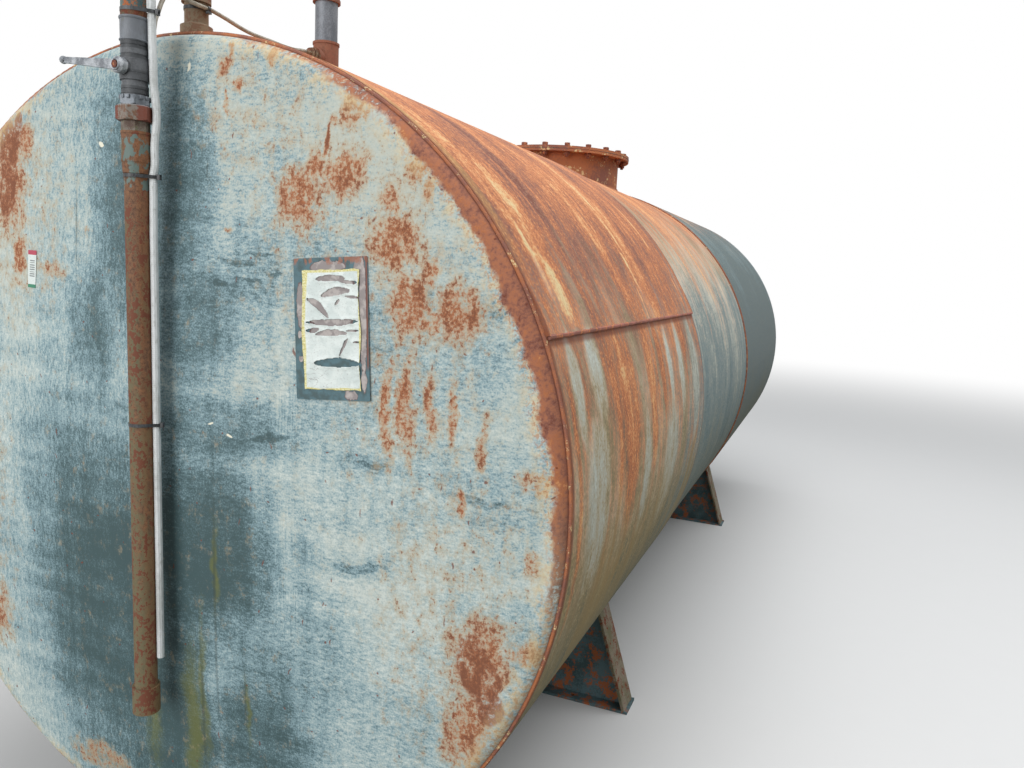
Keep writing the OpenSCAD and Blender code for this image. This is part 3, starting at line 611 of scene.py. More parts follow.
# Marks on the near course: place from its edge, angle, half width, half angle, strength
CREAM_STREAKS = down_shell(
    (0.17, 47, 0.06, 9, 0.75), (0.105, 57, 0.018, 7, 1), (0.155, 62, 0.038, 6.5, 1),
    # thin bright streaks
    (0.908, 40, 0.012, 10, 1), (0.885, 51, 0.012, 7, 1.1), (0.853, 58, 0.012, 7, 1.1),
    (0.822, 65, 0.01, 5, 1), (0.3, 44, 0.015, 10, 0.6), (1.3, 48, 0.014, 12, 0.55),
    (1.4, 60, 0.01, 8, 0.6),
    # below the lap
    (0.1, 74, 0.035, 8, 1), (0.235, 73, 0.06, 8, 0.9), (0.18, 90, 0.1, 14, 1.1),
    (0.62, 92, 0.05, 12, 0.8), (0.965, 76, 0.04, 9, 0.7), (1.12, 77, 0.045, 11, 0.9),
    (1.35, 80, 0.08, 14, 1), (0.94, 94, 0.12, 14, 0.9),
)
PLUM_STREAKS = down_shell(
    (0.34, 36, 0.05, 18, 0.8), (0.42, 58, 0.06, 14, 0.5), (1.04, 50, 0.08, 22, 0.7),
    (1.06, 63.5, 0.18, 5, 0.9), (0.06, 52, 0.025, 20, 0.5), (0.6, 74, 0.07, 8, 0.4),
)
ORANGE_STREAKS = down_shell(
    (0.62, 44, 0.16, 14, 0.9), (0.7, 80, 0.045, 13, 1), (0.45, 82, 0.13, 18, 1),
    (0.85, 74, 0.05, 10, 0.8), (1.22, 71, 0.05, 6, 0.8), (0.05, 92, 0.018, 24, 0.8),
)


def head_finish(name, colours, marked):
    """Chalked blue paint with brush marks, rust patches and a rusted rim."""
    f = Finish(name)
    f.lay(f.x, f.height)
    bent = f.bent(0.012, 38.0, 8.0, f.bent(0.055, 7.0, 3.0))
    radius = f.math("SQRT", f.x * f.x + f.height * f.height)
    side = f.math("ARCTAN2", f.x, f.height)
    cloud = f.noise((2.4, 2.0), 1.0, 2.0)
    mottle = f.noise((56.0, 140.0), 2.0, 3.0, 0.7)
    if marked:
        upright = f.noise((135.0, 54.0), 2.5, 3.0, 0.7)
        turned_up = f.x.fade(0.02, -0.04)
        mottle = mottle * (1.0 - turned_up) + upright * turned_up
    sweep = f.noise((4.0, 22.0), 5.0, at=bent)
    runs = f.noise((32.0, 2.4), 7.0, at=bent)
    grain = f.noise((240.0, 240.0), 4.0, 3.0, 0.7)
    pits = f.noise((120.0, 105.0), 6.0, 4.0, 0.75)
    clumps = f.noise((34.0, 24.0), 9.0, 4.0, 0.7)

    # Paint: the brush marks carry every step from white chalk down to the washed teal
    if marked:
        blues, teal, deep = (f.spots(zones, bent)
                             for zones in (BLUE_ZONES, TEAL_ZONES, DEEP_ZONES))
        bristles = f.noise((210.0, 6.0), 12.0, 2.0)
        strokes = (f.spots(PALE_STROKES, f.plane) * 2.0).least(1.0) * bristles.fade(0.35, 0.6)
        growth = f.spots(ALGAE_RUNS, bent)
        lines = f.spots(DARK_RUNS, f.bent(0.006, 9.0, 3.0)).fade(0.0, 0.8) * 0.5
        scuffs = f.spots(TEAL_SCUFFS, bent).fade(0.0, 0.35)
    else:
        blues, strokes = cloud * 0.6, cloud * 0.0
        lines = scuffs = strokes
        teal = (f.height * -0.7 + cloud - 0.2).most(0.0)
        deep = (f.height * -0.5 + cloud * 0.5 - 0.3).most(0.0)
        growth = (f.height * -1.0 - 0.2).most(0.0) * runs.fade(0.5, 0.65)
    calm = 1.0 - teal.least(0.8) * 0.6
    tones = (mottle.swing(0.66) * calm + grain.swing(0.58) + sweep.swing(0.30) + cloud.swing(0.45)
             + runs.swing(0.25) + 0.495 - blues * 0.14 - teal.least(0.62) * 0.46
             - deep.least(0.6) * 0.26 - scuffs * 0.17 + strokes * 0.10)
    f.shade = f.ramp(tones, (0.06, colours.deep), (0.22, colours.teal), (0.38, colours.blue),
                     (0.52, colours.pale), (0.72, colours.white))
    warmth = (cloud * 0.9 + f.height * 0.60 + f.x * 0.18 + clumps.swing(0.6)).fade(0.45, 1.05)
    f.coat(warmth * tones.fade(0.38, 0.52) * 0.75, colours.warm)
    growth = growth * 1.5 + runs.swing(0.9) + pits.swing(0.9)
    f.coat(growth.fade(0.10, 1.35) * 0.72, colours.algae)
    f.coat(lines, colours.line)

    # Rust: where the marks are strong the pitted noise passes, and at their edges it thins out
    if marked:
        low, marks = f.spots(SPECKLE_ZONES, bent), f.spots(RUST_MARKS, bent)
        core = f.spots(RUST_CORES, bent).fade(0.02, 0.22)
    else:
        low = (clumps - 0.35).most(0.0) * 2.0
        marks = (clumps * 1.6 - 0.75).most(0.0) * cloud * 1.6
        core = marks * 0.0
    coarse = clumps * 0.6 + pits * 0.4
    spread = marks.least(0.6) * 0.72 + low.least(0.5) * 0.42
    patch = spread + pits.swing(1.7) + clumps.swing(1.2)
    rusted = patch.fade(0.36, 0.80).most(core * coarse.fade(0.32, 0.50))
    haze = spread * 1.5 + clumps.swing(1.7) + pits.swing(0.7)
    f.coat(haze.fade(0.10, 0.75) * 0.70, colours.stain)
    f.coat(haze.fade(0.45, 1.15) * 0.55, colours.rust_light)
    tint = f.ramp(pits * 0.30 + grain * 0.30 + clumps * 0.40 + core * 0.06,
                  (0.38, colours.rust_light), (0.48, colours.rust), (0.60, colours.rust_dark))
    f.coat(rusted * 0.85, tint)

    # Rim: rust from the knuckle inwards, ragged, paler and thinner past the right of the head
    ragged = f.noise((9.0, 9.0), 15.0, 4.0, 0.7)
    turn = side * math.degrees(1)
    worn = turn.fade(5.0, 12.0) * 0.35 + turn.fade(18.0, 56.0) * 0.65
    worn = worn * (1.0 - turn.fade(80.0, 104.0) * 0.75) + turn.fade(-14.0, -30.0) * 0.40
    rim = radius - (RIM_RUST_R - worn * 0.026) - ragged.swing(0.055) - pits.swing(0.022)
    band = rim.fade(-0.004, 0.006) * (worn * 1.7 + pits.swing(2.5)).fade(0.2, 0.9)
    fringe = rim.fade(-0.045, -0.004) * coarse.fade(0.42, 0.56) * worn.fade(0.0, 0.35)
    f.coat(fringe * 0.55, colours.cream)
    f.coat(rim.fade(-0.030, 0.0) * pits.fade(0.50, 0.60) * worn * 0.75, colours.rust)
    mixed = ragged.swing(0.5) + pits.swing(0.6) + clumps.swing(0.6) + 0.51
    mixed = mixed - radius.fade(0.925, 0.943) * 0.08
    old = f.ramp(mixed, (0.24, colours.rust_dark), (0.36, colours.plum), (0.50, colours.rim),
                 (0.64, colours.shell_rust), (0.80, colours.apricot))
    old = f.mix(turn.fade(82.0, 108.0) * 0.55, old, colours.stain)
    f.coat(band, old)
    f.coat(radius.fade(0.9395, 0.9425) * (worn * 0.55 + 0.2), colours.plum)

    # Scattered pinholes and short drips, and flecks of old white paint
    hole, chance = f.cells((34.0, 34.0), 1.0, bent)
    pin = hole.fade(0.11, 0.05) * chance.fade(0.93, 0.94) * 0.8
    hole, chance = f.cells((60.0, 14.0), 5.0, bent)
    pin = pin.most(hole.fade(0.14, 0.05) * chance.fade(0.975, 0.98) * 0.8)
    f.coat(pin, colours.rust_dark)
    if marked:
        f.coat(f.spots(WHITE_FLECKS, bent).fade(0.0, 0.3), colours.fleck)

    bare = rusted.most(band)
    return f.done(0.58 + bare * 0.30 + mottle.swing(0.12), (mottle * 0.0004 + grain * 0.0003, 0.6),
                  (pits * 0.0014 + grain * 0.0006, bare * 0.8), specular=0.35)


def course_finish(name, colours):
    """Rust and old paint in streaks that run round the shell."""
    f = Finish(name)
    side = f.math("ARCTAN2", f.x, f.height)
    angle = side.size() * math.degrees(1)
    along = f.y - NEAR_EDGE
    f.lay(along, side * SHELL_R)
    bent = f.bent(0.045, 3.2, 2.0)
    rough = f.bent(0.014, 45.0, 6.0, bent)
    broad = f.noise((4.0, 0.8), 1.0, 2.0, at=bent)
    streak = f.noise((19.0, 1.9), 2.0, 3.0, 0.6, at=rough)
    hair = f.noise((85.0, 9.0), 3.0, 3.0, 0.7)
    cloud = f.noise((5.0, 3.0), 5.0, 4.0, 0.65)
    speck = f.noise((170.0, 120.0), 4.0, 3.0, 0.7)
    blot = f.noise((44.0, 24.0), 7.0, 4.0, 0.7, at=rough)
    near = f.y.fade(SEAM_NEAR + 0.003, SEAM_NEAR - 0.003)
    far = f.y.fade(SEAM_FAR - 0.003, SEAM_FAR + 0.003)
    cream = f.spots(CREAM_STREAKS, rough) * (blot * 0.9 + hair * 0.9 + 0.1)
    pale = cream.least(0.6)
    plum = f.spots(PLUM_STREAKS, rough).least(0.6)
    orange = f.spots(ORANGE_STREAKS, rough).least(0.6)

    # Rust in stripes from plum through orange to cream
    value = (broad.swing(0.45) + streak.swing(0.42) + hair.swing(0.26) + cloud.swing(0.55)
             + speck.swing(0.58) + blot.swing(0.50) + 0.49)
    drawn = pale * 0.40 - plum * 0.20 + orange * 0.12
    rusty = f.ramp(value + drawn + (1.0 - near) * 0.05, (0.18, colours.rust_dark),
                   (0.34, colours.plum), (0.47, colours.shell_rust), (0.60, colours.orange),
                   (0.72, colours.apricot), (0.86, colours.cream))

    # Paint of the sides: chalk high up, then grey and teal, with painted shade that darkens them
    # further down and over the whole far course
    # Painted shade: lift falls further down the sides and drops by 0.42 on the far course, which
    # darkens both ramps
    lift = ((66.0 - angle) / 190.0).least(0.10) - far * 0.42 + near * 0.08
    sides = f.ramp(value * 0.7 + 0.14 + lift + cream * 0.15, (0.12, colours.deep),
                   (0.28, colours.teal), (0.44, colours.grey), (0.58, colours.chalk),
                   (0.76, colours.white))
    tinted = f.ramp(value * 0.8 + 0.10 + lift + pale * 0.3, (0.20, colours.moss_and_shade),
                    (0.36, colours.ochre), (0.50, colours.stain), (0.66, colours.warm),
                    (0.84, colours.white))
    tint = near * (along + broad.swing(1.2)).fade(1.45, 0.85) * angle.fade(140.0, 100.0)
    tint = tint.most((1.0 - near) * (1.0 - far) * angle.fade(66.0, 50.0))
    sides = f.mix(tint * (blot * 0.5 + 0.6).least(1.0), sides, tinted)

    # How far down the rust reaches: past the long lap on the near course, the ridge on the others
    reach = near * 32.0 + 52.0 - far * 34.0
    below = angle.fade(LAP_NEAR - 0.8, LAP_NEAR + 0.2) * near
    amount = ((reach - angle) / 22.0 + streak.swing(3.2) + broad.swing(1.6) + hair.swing(1.6)
              + blot.swing(1.2) - pale * 2.6 * below + orange * 1.8 * below
              + speck.swing(2.0)).fade(-0.9, 1.1)
    f.shade = f.mix(amount, sides, rusty)

    # Olive grime: a strip at the near edge of the ridge and in the damp streaks; on the underside
    # the olive is partly grime and partly painted shade
    edge = (along + streak.swing(0.06)).fade(0.052, 0.030) * angle.fade(64.0, 46.0)
    f.coat(edge * (hair + 0.15).least(1.0) * 0.70, colours.ochre)
    damp = (angle - 78.0).fade(0.0, 30.0) * (streak.swing(2.0) + broad.swing(2.0) + 0.5)
    f.coat(damp.fade(0.25, 0.9) * 0.7 * near, colours.ochre)
    # Painted shade with grime: darker olive below 88 degrees from the top, where the shell faces
    # away from the light
    under = ((angle - 88.0) / 42.0 + cloud.swing(1.2) + streak.swing(1.0)).fade(0.0, 1.0)
    f.coat(under * 0.6, colours.moss_and_shade)
    f.coat(speck.fade(0.54, 0.74) * 0.30, colours.cream)
    f.coat(speck.fade(0.46, 0.28) * (amount * 0.35 + 0.12), colours.plum)

    # Brown lines of the seams, and a dark line at the foot of the near course's lap that is painted
    # shadow under the lap's step
    seam = (f.y - SEAM_NEAR).size().least((f.y - SEAM_FAR).size()).least(along.size())
    seam = seam.fade(0.014, 0.004)
    # Painted shadow: a dark line just below the near lap's edge
    lap = (side * math.degrees(1) - (LAP_NEAR + 0.6)).size().fade(0.9, 0.25) * near
    f.coat((seam * (0.45 + hair)).most(lap * 0.9).least(1.0) * 0.8, colours.rust_dark)
    return f.done(0.62 + amount * 0.2 + speck.swing(0.15),
                  (hair * 0.0006 + speck * 0.0006, 0.35 + amount * 0.5), specular=0.35)


def metal_finish(name, light, dark, rust, rust_from=0.62, scale=60.0, rough=0.6, metal=0.0,
                 pitted=0.5, spread=(1.0, 1.0, 1.0)):
    """Two tones of one surface in clouds, with rust that breaks through it."""
    f = Finish(name)
    wide = tuple(scale * 0.4 * s for s in spread)
    cloud = f.noise(wide, 1.0, rough=0.6)
    grain = f.noise((scale * 7.0,) * 3, 2.0, 2.0, 0.6)
    crust = f.noise((scale,) * 3, 3.0, 4.0, 0.65)
    f.shade = f.mix((cloud * 0.65 + grain * 0.35).fade(0.40, 0.60), light, dark)
    rusted = (crust * 0.7 + grain * 0.3).fade(rust_from - 0.03, rust_from + 0.03)
    f.coat(rusted, rust)
    return f.done(rough + rusted * 0.25 + cloud.swing(0.2),
                  (grain * 0.0005 + crust * 0.0008, pitted), metal=metal)


def pipe_finish(name, metals):
    """Pitted brown rust with olive grime, redder at the vent, and teal paint by the socket."""
    f = Finish(name)
    cloud = f.noise((30.0, 30.0, 9.0), 1.0)
    crust = f.noise((150.0, 150.0, 125.0), 2.0, 4.0, 0.66)
    blot = f.noise((66.0, 66.0, 46.0), 3.0)
    grain = f.noise((520.0, 520.0, 520.0), 4.0, 2.0, 0.6)
    vent = f.y.fade(VENT_Y - 0.06, VENT_Y - 0.04)
    stub = f.y.fade(STUB_FRONT, STUB_FRONT + 0.01) * (1.0 - vent)
    stub = stub * f.z.fade(STUB_TOP + 0.002, STUB_TOP - 0.002)
    riser = f.y.fade(RISER_BACK, RISER_BACK - 0.07)
    f.shade = f.ramp(crust * 0.7 + grain * 0.3, (0.36, metals.pipe_dark), (0.48, metals.pipe),
                     (0.62, metals.pipe_light))
    olive = (cloud * 1.3 + (SOCKET_Z - f.z) * 0.30 + blot.swing(0.8)).fade(0.60, 0.85) * riser
    f.coat(olive * 0.75, metals.olive)
    f.coat(stub * (cloud * 0.6 + 0.45).least(1.0), metals.stub)
    edges = (f.x - RISER.x).size().fade(0.014, 0.023) * riser
    f.coat(edges * (cloud + 0.1).fade(0.35, 0.6) * 0.35, metals.orange)
    red = (crust.swing(1.7) + blot.swing(1.3) + cloud.swing(1.0)).fade(0.02, 0.14)
    f.coat(red * (0.85 - stub * 0.4), metals.red)
    f.coat(vent * (crust * 0.9 + 0.2), metals.vent_rust)
    zone = (f.z - SOCKET_Z).size().fade(0.085, 0.045)
    zone = zone.most((f.z - ELBOW_Z).fade(-0.03, 0.01) * (1.0 - vent)) * (1.0 - stub)
    flakes = (zone * (blot * 0.6 + crust * 0.2 + cloud * 0.2)).fade(0.49, 0.52)
    f.coat(flakes * 0.9, metals.flake)
    gland = vent * (VENT_Y - 0.071 - f.y).fade(-0.0004, 0.0004)
    f.coat(gland * 0.9, metals.iron)
    return f.done(0.80 - flakes * 0.25, (crust * 0.0012 + grain * 0.0004, 0.7))


def coat_finish(name, light, dark, grime, rough=0.45, relief=0.3, rings=0.0):
    """Weathered plastic or plating: a soft cloud, fine dirt and, on the conduit, ripples."""
    f = Finish(name)
    cloud = f.noise((18.0, 18.0, 7.0), 1.0)
    dirt = f.noise((150.0, 150.0, 60.0), 2.0, 3.0, 0.62)
    grain = f.noise((600.0, 600.0, 600.0), 3.0, 2.0)
    f.shade = f.mix((cloud * 0.6 + dirt * 0.4).fade(0.42, 0.62), light, dark)
    f.coat(dirt.fade(0.60, 0.78) * 0.4, grime)
    height = grain * 0.0003 + dirt * 0.0004
    if rings:
        height = height + f.math("SINE", f.z * (math.tau / rings)) * 0.00025
    return f.done(rough + dirt.swing(0.3), (height, relief))


def valve_finish(name, metals):
    """Dark grey valve body with black bands at its rings and gaps: partly the valve's own black and
    partly painted shade in the grooves.
    """
    f = Finish(name)
    cloud = f.noise((40.0, 40.0, 40.0), 1.0)
    dust = f.noise((260.0, 260.0, 200.0), 2.0, 3.0, 0.65)
    f.shade = f.mix((cloud * 0.5 + dust * 0.5).fade(0.40, 0.62), metals.iron_light, metals.iron)
    rings = cloud * 0.0
    # Black rings, with painted shade in the grooves between them
    for place, half, depth in VALVE_BLACK_AND_SHADE_BANDS:
        rings = rings.most((f.z - place).size().fade(half + 0.001, half - 0.001) * depth)
    f.coat(rings * 0.8, metals.iron_black_and_groove_shade)
    f.coat(dust.fade(0.56, 0.74) * 0.4, metals.zinc)
    return f.done(0.50 + dust.swing(0.3), (dust * 0.0004 + cloud * 0.0003, 0.5))


def nut_finish(name, metals):
    """Union nut: worn zinc on its front, rust on its left corner and along its edges, and a pale
    top edge that is partly worn zinc and partly painted highlight.
    """
    f = Finish(name)
    crust = f.noise((150.0, 150.0, 120.0), 1.0, 4.0, 0.65)
    grain = f.noise((520.0, 520.0, 520.0), 2.0, 2.0)
    f.shade = f.mix(crust.fade(0.42, 0.6), metals.nut, metals.pipe)
    rusted = f.x.fade(-0.006, -0.022).most((f.x - 0.022).fade(0.0, 0.008)) + crust.swing(2.0)
    f.coat(rusted.fade(0.25, 0.7) * 0.9, metals.red)
    # Paler along the top: partly worn zinc, partly painted highlight where light falls on the top
    # edge
    top = (f.z - NUT_TOP).fade(-0.002, 0.001)
    f.coat(top * 0.6, metals.zinc_worn_and_highlight)
    return f.done(0.65, (crust * 0.0010 + grain * 0.0005, 0.6))


def label_place():
    """The label plate's middle, and its directions to the right, up and out of the tank."""
    centre = middle("label")
    around = math.atan2(centre.x, centre.z - AXIS_Z)
    lean = math.asin(math.hypot(centre.x, centre.z - AXIS_Z) / HEAD_CROWN_R)
    turn = (Matrix.Rotation(-around, 3, "Y") @ Matrix.Rotation(lean, 3, "Z")
            @ Matrix.Rotation(around, 3, "Y") @ Matrix.Rotation(LABEL_TURN, 3, "Y"))
    return centre, turn @ Vector((1, 0, 0)), turn @ Vector((0, 0, 1)), turn @ Vector((0, -1, 0))


def on_label(f):
    """Sets a finish's flat patterns on the label: from its left edge and from its top."""
    centre, right, up, _ = label_place()
    across = f.toward(right, centre) / LABEL_W + 0.5
    down = 0.5 - f.toward(up, centre) / LABEL_H
    f.lay(across, down)
    return across, down


# Glue on the label's plate and tears in its film: places and sizes as shares of the plate
GLUE_MARKS = (
    (0.085, 0.33, 0.055, 0.17, 1.0), (0.085, 0.27, 0.045, 0.08, 1.0),
    (0.47, 0.062, 0.25, 0.042, 1.0), (0.34, 0.07, 0.10, 0.035, 1.0),
    (0.93, 0.40, 0.050, 0.44, 1.0), (0.88, 0.07, 0.075, 0.07, 1.0),
    (0.93, 0.87, 0.040, 0.08, 1.0), (0.75, 0.965, 0.09, 0.035, 1.0),
    (0.07, 0.54, 0.030, 0.03, 1.0), (0.07, 0.71, 0.030, 0.02, 1.0),
    (0.50, 0.30, 0.38, 0.24, 1.0), (0.52, 0.56, 0.34, 0.14, 1.0),
)
BARE_MARKS = (
    (0.58, 0.742, 0.34, 0.034, 1.0),
    (0.80, 0.045, 0.030, 0.045, 1.0),
)
TEARS = (                               # from, to, half height, bow
    (0.29, 0.150, 0.71, 0.150, 0.024, -0.006),
    (0.62, 0.165, 0.89, 0.180, 0.014, 0.004),
    (0.37, 0.270, 0.77, 0.235, 0.030, -0.016),
    (0.70, 0.270, 0.89, 0.282, 0.010, 0.002),
    (0.56, 0.335, 0.63, 0.290, 0.012, 0.0),
    (0.18, 0.285, 0.48, 0.425, 0.028, -0.022),
    (0.16, 0.450, 0.88, 0.445, 0.024, 0.006),
    (0.16, 0.510, 0.34, 0.500, 0.018, 0.004),
    (0.28, 0.540, 0.72, 0.530, 0.024, -0.012),
    (0.70, 0.512, 0.88, 0.508, 0.009, 0.0),
    (0.74, 0.560, 0.60, 0.700, 0.014, 0.010),
    (0.76, 0.595, 0.89, 0.588, 0.007, 0.0),
    (0.25, 0.742, 0.90, 0.742, 0.034, -0.008),
)


def in_tear(across, down):
    """How deep inside a tear of the film a place is, negative outside, as a share of the plate."""
    deepest = -1.0
    for x0, y0, x1, y1, half, bow in TEARS:
        run = math.hypot(x1 - x0, y1 - y0)
        along = ((across - x0) * (x1 - x0) + (down - y0) * (y1 - y0)) / run ** 2
        off = ((down - y0) * (x1 - x0) - (across - x0) * (y1 - y0)) / run
        if -0.06 < along < 1.06:
            arch = math.sin(math.pi * min(max(along, 0.0), 1.0))
            ragged = noise.noise(Vector((across * 21, down * 21, x0 * 9))) * 0.005
            deepest = max(deepest, half * arch ** 0.6 - abs(off - bow * arch) + ragged
                          - max(0.0, abs(along - 0.5) - 0.5) * 0.3)
    return deepest


def film_edges(down):
    """The film's ragged left and right edges at a height, as shares of the plate's width."""
    left = 0.112 + 0.012 * math.sin(down * 9.0) + 0.006 * noise.noise(Vector((3.1, down * 24, 0)))
    right = (0.893 + 0.014 * math.sin(down * 12.6 + 1.2)
             + 0.006 * noise.noise(Vector((8.3, down * 26, 0))))
    return left, right


def plate_finish(name, metals, colours):
    """Teal plate with grey glue that the torn film has left, and rust at its top."""
    f = Finish(name)
    across, down = on_label(f)
    bent = f.bent(0.05, 14.0, 2.0)
    cloud = f.noise((60.0, 60.0, 60.0), 1.0)
    grain = f.noise((500.0, 500.0, 500.0), 2.0, 2.0)
    f.shade = f.mix(cloud.fade(0.4, 0.65), metals.plate, colours.deep)
    glue = f.spots(GLUE_MARKS, bent) - f.spots(BARE_MARKS, bent) * 1.6
    edge = glue.fade(0.0, 0.02) * glue.fade(0.12, 0.05)
    glued = glue.fade(0.0, 0.03)
    f.coat(glued, f.mix(cloud.fade(0.45, 0.62), metals.glue, metals.glue_light))
    f.coat(edge * 0.85, metals.glue_edge_and_crack_shade)
    top = (down.fade(0.07, 0.0) + (grain - 0.5)) * f.noise((9.0, 6.0), 5.0).fade(0.46, 0.56)
    line = (across - 0.983).size().fade(0.018, 0.006) * down.fade(0.80, 0.74)
    f.coat(top.fade(0.10, 0.6) * 0.6, colours.rust)
    f.coat(line * 0.85, colours.rust_dark)
    return f.done(0.55 + glued * 0.2, (grain * 0.0003 + cloud * 0.0006, 0.5))


def film_finish(name, metals):
    """White film with a yellow border and grey clouds, crossed by thin dark crack lines that are
    painted shade of curling film, strongest low at the left.
    """
    f = Finish(name)
    across, down = on_label(f)
    cloud = f.noise((5.0, 7.0), 1.0)
    fine = f.noise((40.0, 90.0), 2.0)
    wander = f.noise((2.0, 7.0), 3.0, 2.0).swing(0.03)
    left = across + wander - down.fade(0.46, 0.08) * 0.045
    border = left.fade(0.152, 0.144).most((across + wander).fade(0.872, 0.880))
    border = border.most((down + wander * 0.5).fade(0.106, 0.100))
    border = border.most((down + wander).fade(0.908, 0.914))
    f.shade = f.mix(cloud.fade(0.42, 0.62) * 0.5, metals.film, metals.film_dull)
    # Painted shade: thin dark lines along cracks, strongest below and left of the big tear
    crack_shade = (f.noise((7.0, 26.0), 4.0) - 0.5).size().fade(0.012, 0.004)
    low = down.fade(0.70, 0.80) * across.fade(0.50, 0.36)
    f.coat(crack_shade * (low * 0.6 + 0.15), metals.glue_edge_and_crack_shade)
    f.coat(border, f.mix(fine.fade(0.42, 0.62), metals.border, metals.border_pale))
    f.coat(fine.fade(0.62, 0.72) * 0.4, metals.glue)
    return f.done(0.42 + cloud.swing(0.3), (fine * 0.0004, 0.4))


def sticker_finish(name, metals, centre, right, up, width, height):
    """Small sticker: a red band, plain grey bars on white and a green band at its foot."""
    f = Finish(name)
    across = f.toward(right, centre) / width + 0.5
    down = 0.5 - f.toward(up, centre) / height
    f.lay(across, down)
    worn = f.noise((9.0, 16.0), 1.0)
    f.shade = f.mix(worn.fade(0.5, 0.7) * 0.5, metals.film, metals.film_dull)
    bars = f.math("FRACT", down * 17.0).fade(0.42, 0.52)
    bars = bars * f.math("FRACT", down * 5.0 + 0.3).fade(0.1, 0.2)
    block = (across - 0.5).size().fade(0.30, 0.28) * (down - 0.48).size().fade(0.24, 0.23)
    f.coat(bars * block * 0.8, metals.print_grey)
    f.coat(down.fade(0.125, 0.118), metals.print_red)
    f.coat(down.fade(0.908, 0.916), metals.print_green)
    return f.done(0.45, (worn * 0.0003, 0.4))


class TANK_OT_paint_heads(bpy.types.Operator):
    """Paint the two dished heads"""

    bl_idname = "tank.paint_heads"
    bl_label = "Paint the heads"

    def execute(self, context):
        colours = context.scene.tank_colours
        dress(head_finish("head_paint_near", colours, True), "head_near")
        dress(head_finish("head_paint_far", colours, False), "head_far")
        return {"FINISHED"}


class TANK_OT_paint_courses(bpy.types.Operator):
    """Paint the three courses of the shell and the manhole"""

    bl_idname = "tank.paint_courses"
    bl_label = "Paint the shell"

    def execute(self, context):
        colours = context.scene.tank_colours
        dress(course_finish("course_paint", colours),
              "shell_course_near", "shell_course_middle", "shell_course_far")
        dress(metal_finish("manhole_steel", colours.shell_rust, colours.plum, colours.cream,
                           0.58, 14.0, 0.8),
              "manhole_neck", "manhole_flange", "manhole_cover")
        return {"FINISHED"}


class TANK_OT_paint_saddles(bpy.types.Operator):
    """Paint the saddles' webs, bases and strips"""

    bl_idname = "tank.paint_saddles"
    bl_label = "Paint the saddles"

    def execute(self, context):
        colours = context.scene.tank_colours
        web = metal_finish("saddle_paint", colours.teal, colours.deep, colours.rust,
                           0.54, 24.0, 0.65)
        strip = metal_finish("saddle_strip", colours.strip, colours.moss_and_shade, colours.rust_dark,
                             0.56, 34.0, 0.75, pitted=0.7)
        for saddle in ("near", "far"):
            dress(web, f"saddle_{saddle}_web", f"saddle_{saddle}_base")
            dress(strip, f"saddle_{saddle}_strip_left", f"saddle_{saddle}_strip_right")
        return {"FINISHED"}


class TANK_OT_finish_pipework(bpy.types.Operator):
    """Give the riser, the vent and the valve their metals"""

    bl_idname = "tank.finish_pipework"
    bl_label = "Finish the pipework"

    def execute(self, context):
        colours, metals = context.scene.tank_colours, context.scene.tank_metals
        dress(pipe_finish("rusty_pipe", metals),
              "suction_stub", "suction_elbow_rear", "suction_elbow_front", "riser_socket",
              "riser_pipe", "riser_end_socket", "vent_tee", "vent_collar", "vent_port_plug")
        dress(nut_finish("union_nut", metals), "union_nut")
        dress(metal_finish("teal_pipe", metals.flake, colours.deep, colours.rust,
                           0.53, 70.0, 0.7, pitted=0.7),
              "crossover_pipe", "riser_upper_pipe")
        dress(coat_finish("coupling_sleeve", metals.sleeve, metals.sleeve_dark, metals.olive, 0.5),
              "riser_coupling")
        dress(valve_finish("valve_body", metals), "valve_body")
        dress(metal_finish("valve_lever", metals.alloy, metals.sleeve_dark, metals.olive,
                           0.66, 90.0, 0.48, metal=0.25, pitted=0.5), "valve_lever")
        dress(metal_finish("lever_bolt", metals.red, metals.pipe_dark, colours.rust_light,
                           0.60, 120.0, 0.7), "lever_bolt")
        dress(metal_finish("galvanised", metals.zinc, metals.zinc_dark, colours.rust,
                           0.68, 42.0, 0.5, metal=0.2, pitted=0.35, spread=(1.6, 1.6, 0.6)),
              "union_ring", "vent_pipe_lower", "vent_pipe_upper", "vent_cap")
        dress(metal_finish("collar_brass", metals.brass, metals.pipe_dark, metals.olive,
                           0.58, 80.0, 0.6), "union_collar")
        return {"FINISHED"}


class TANK_OT_finish_conduit(bpy.types.Operator):
    """Give the conduit, the sensor cable and the ties their plastics"""

    bl_idname = "tank.finish_conduit"
    bl_label = "Finish the conduit and cable"

    def execute(self, context):
        metals = context.scene.tank_metals
        dress(coat_finish("conduit_plastic", metals.conduit, metals.conduit_dull, metals.olive,
                          0.5, 0.5, rings=0.0042), "conduit")
        dress(coat_finish("cable_jacket", metals.cable, metals.cable_dark, metals.pipe_dark, 0.55),
              "sensor_cable")
        dress(coat_finish("tie_plastic", metals.tie, metals.iron, metals.sleeve_dark, 0.42),
              "cable_ties")
        return {"FINISHED"}


def weld_finish(name, colours):
    """Rust and paint on a hand-laid bead."""
    return metal_finish(name, colours.plum, colours.shell_rust, colours.cream, 0.60, 60.0, 0.8,
                        pitted=0.8)


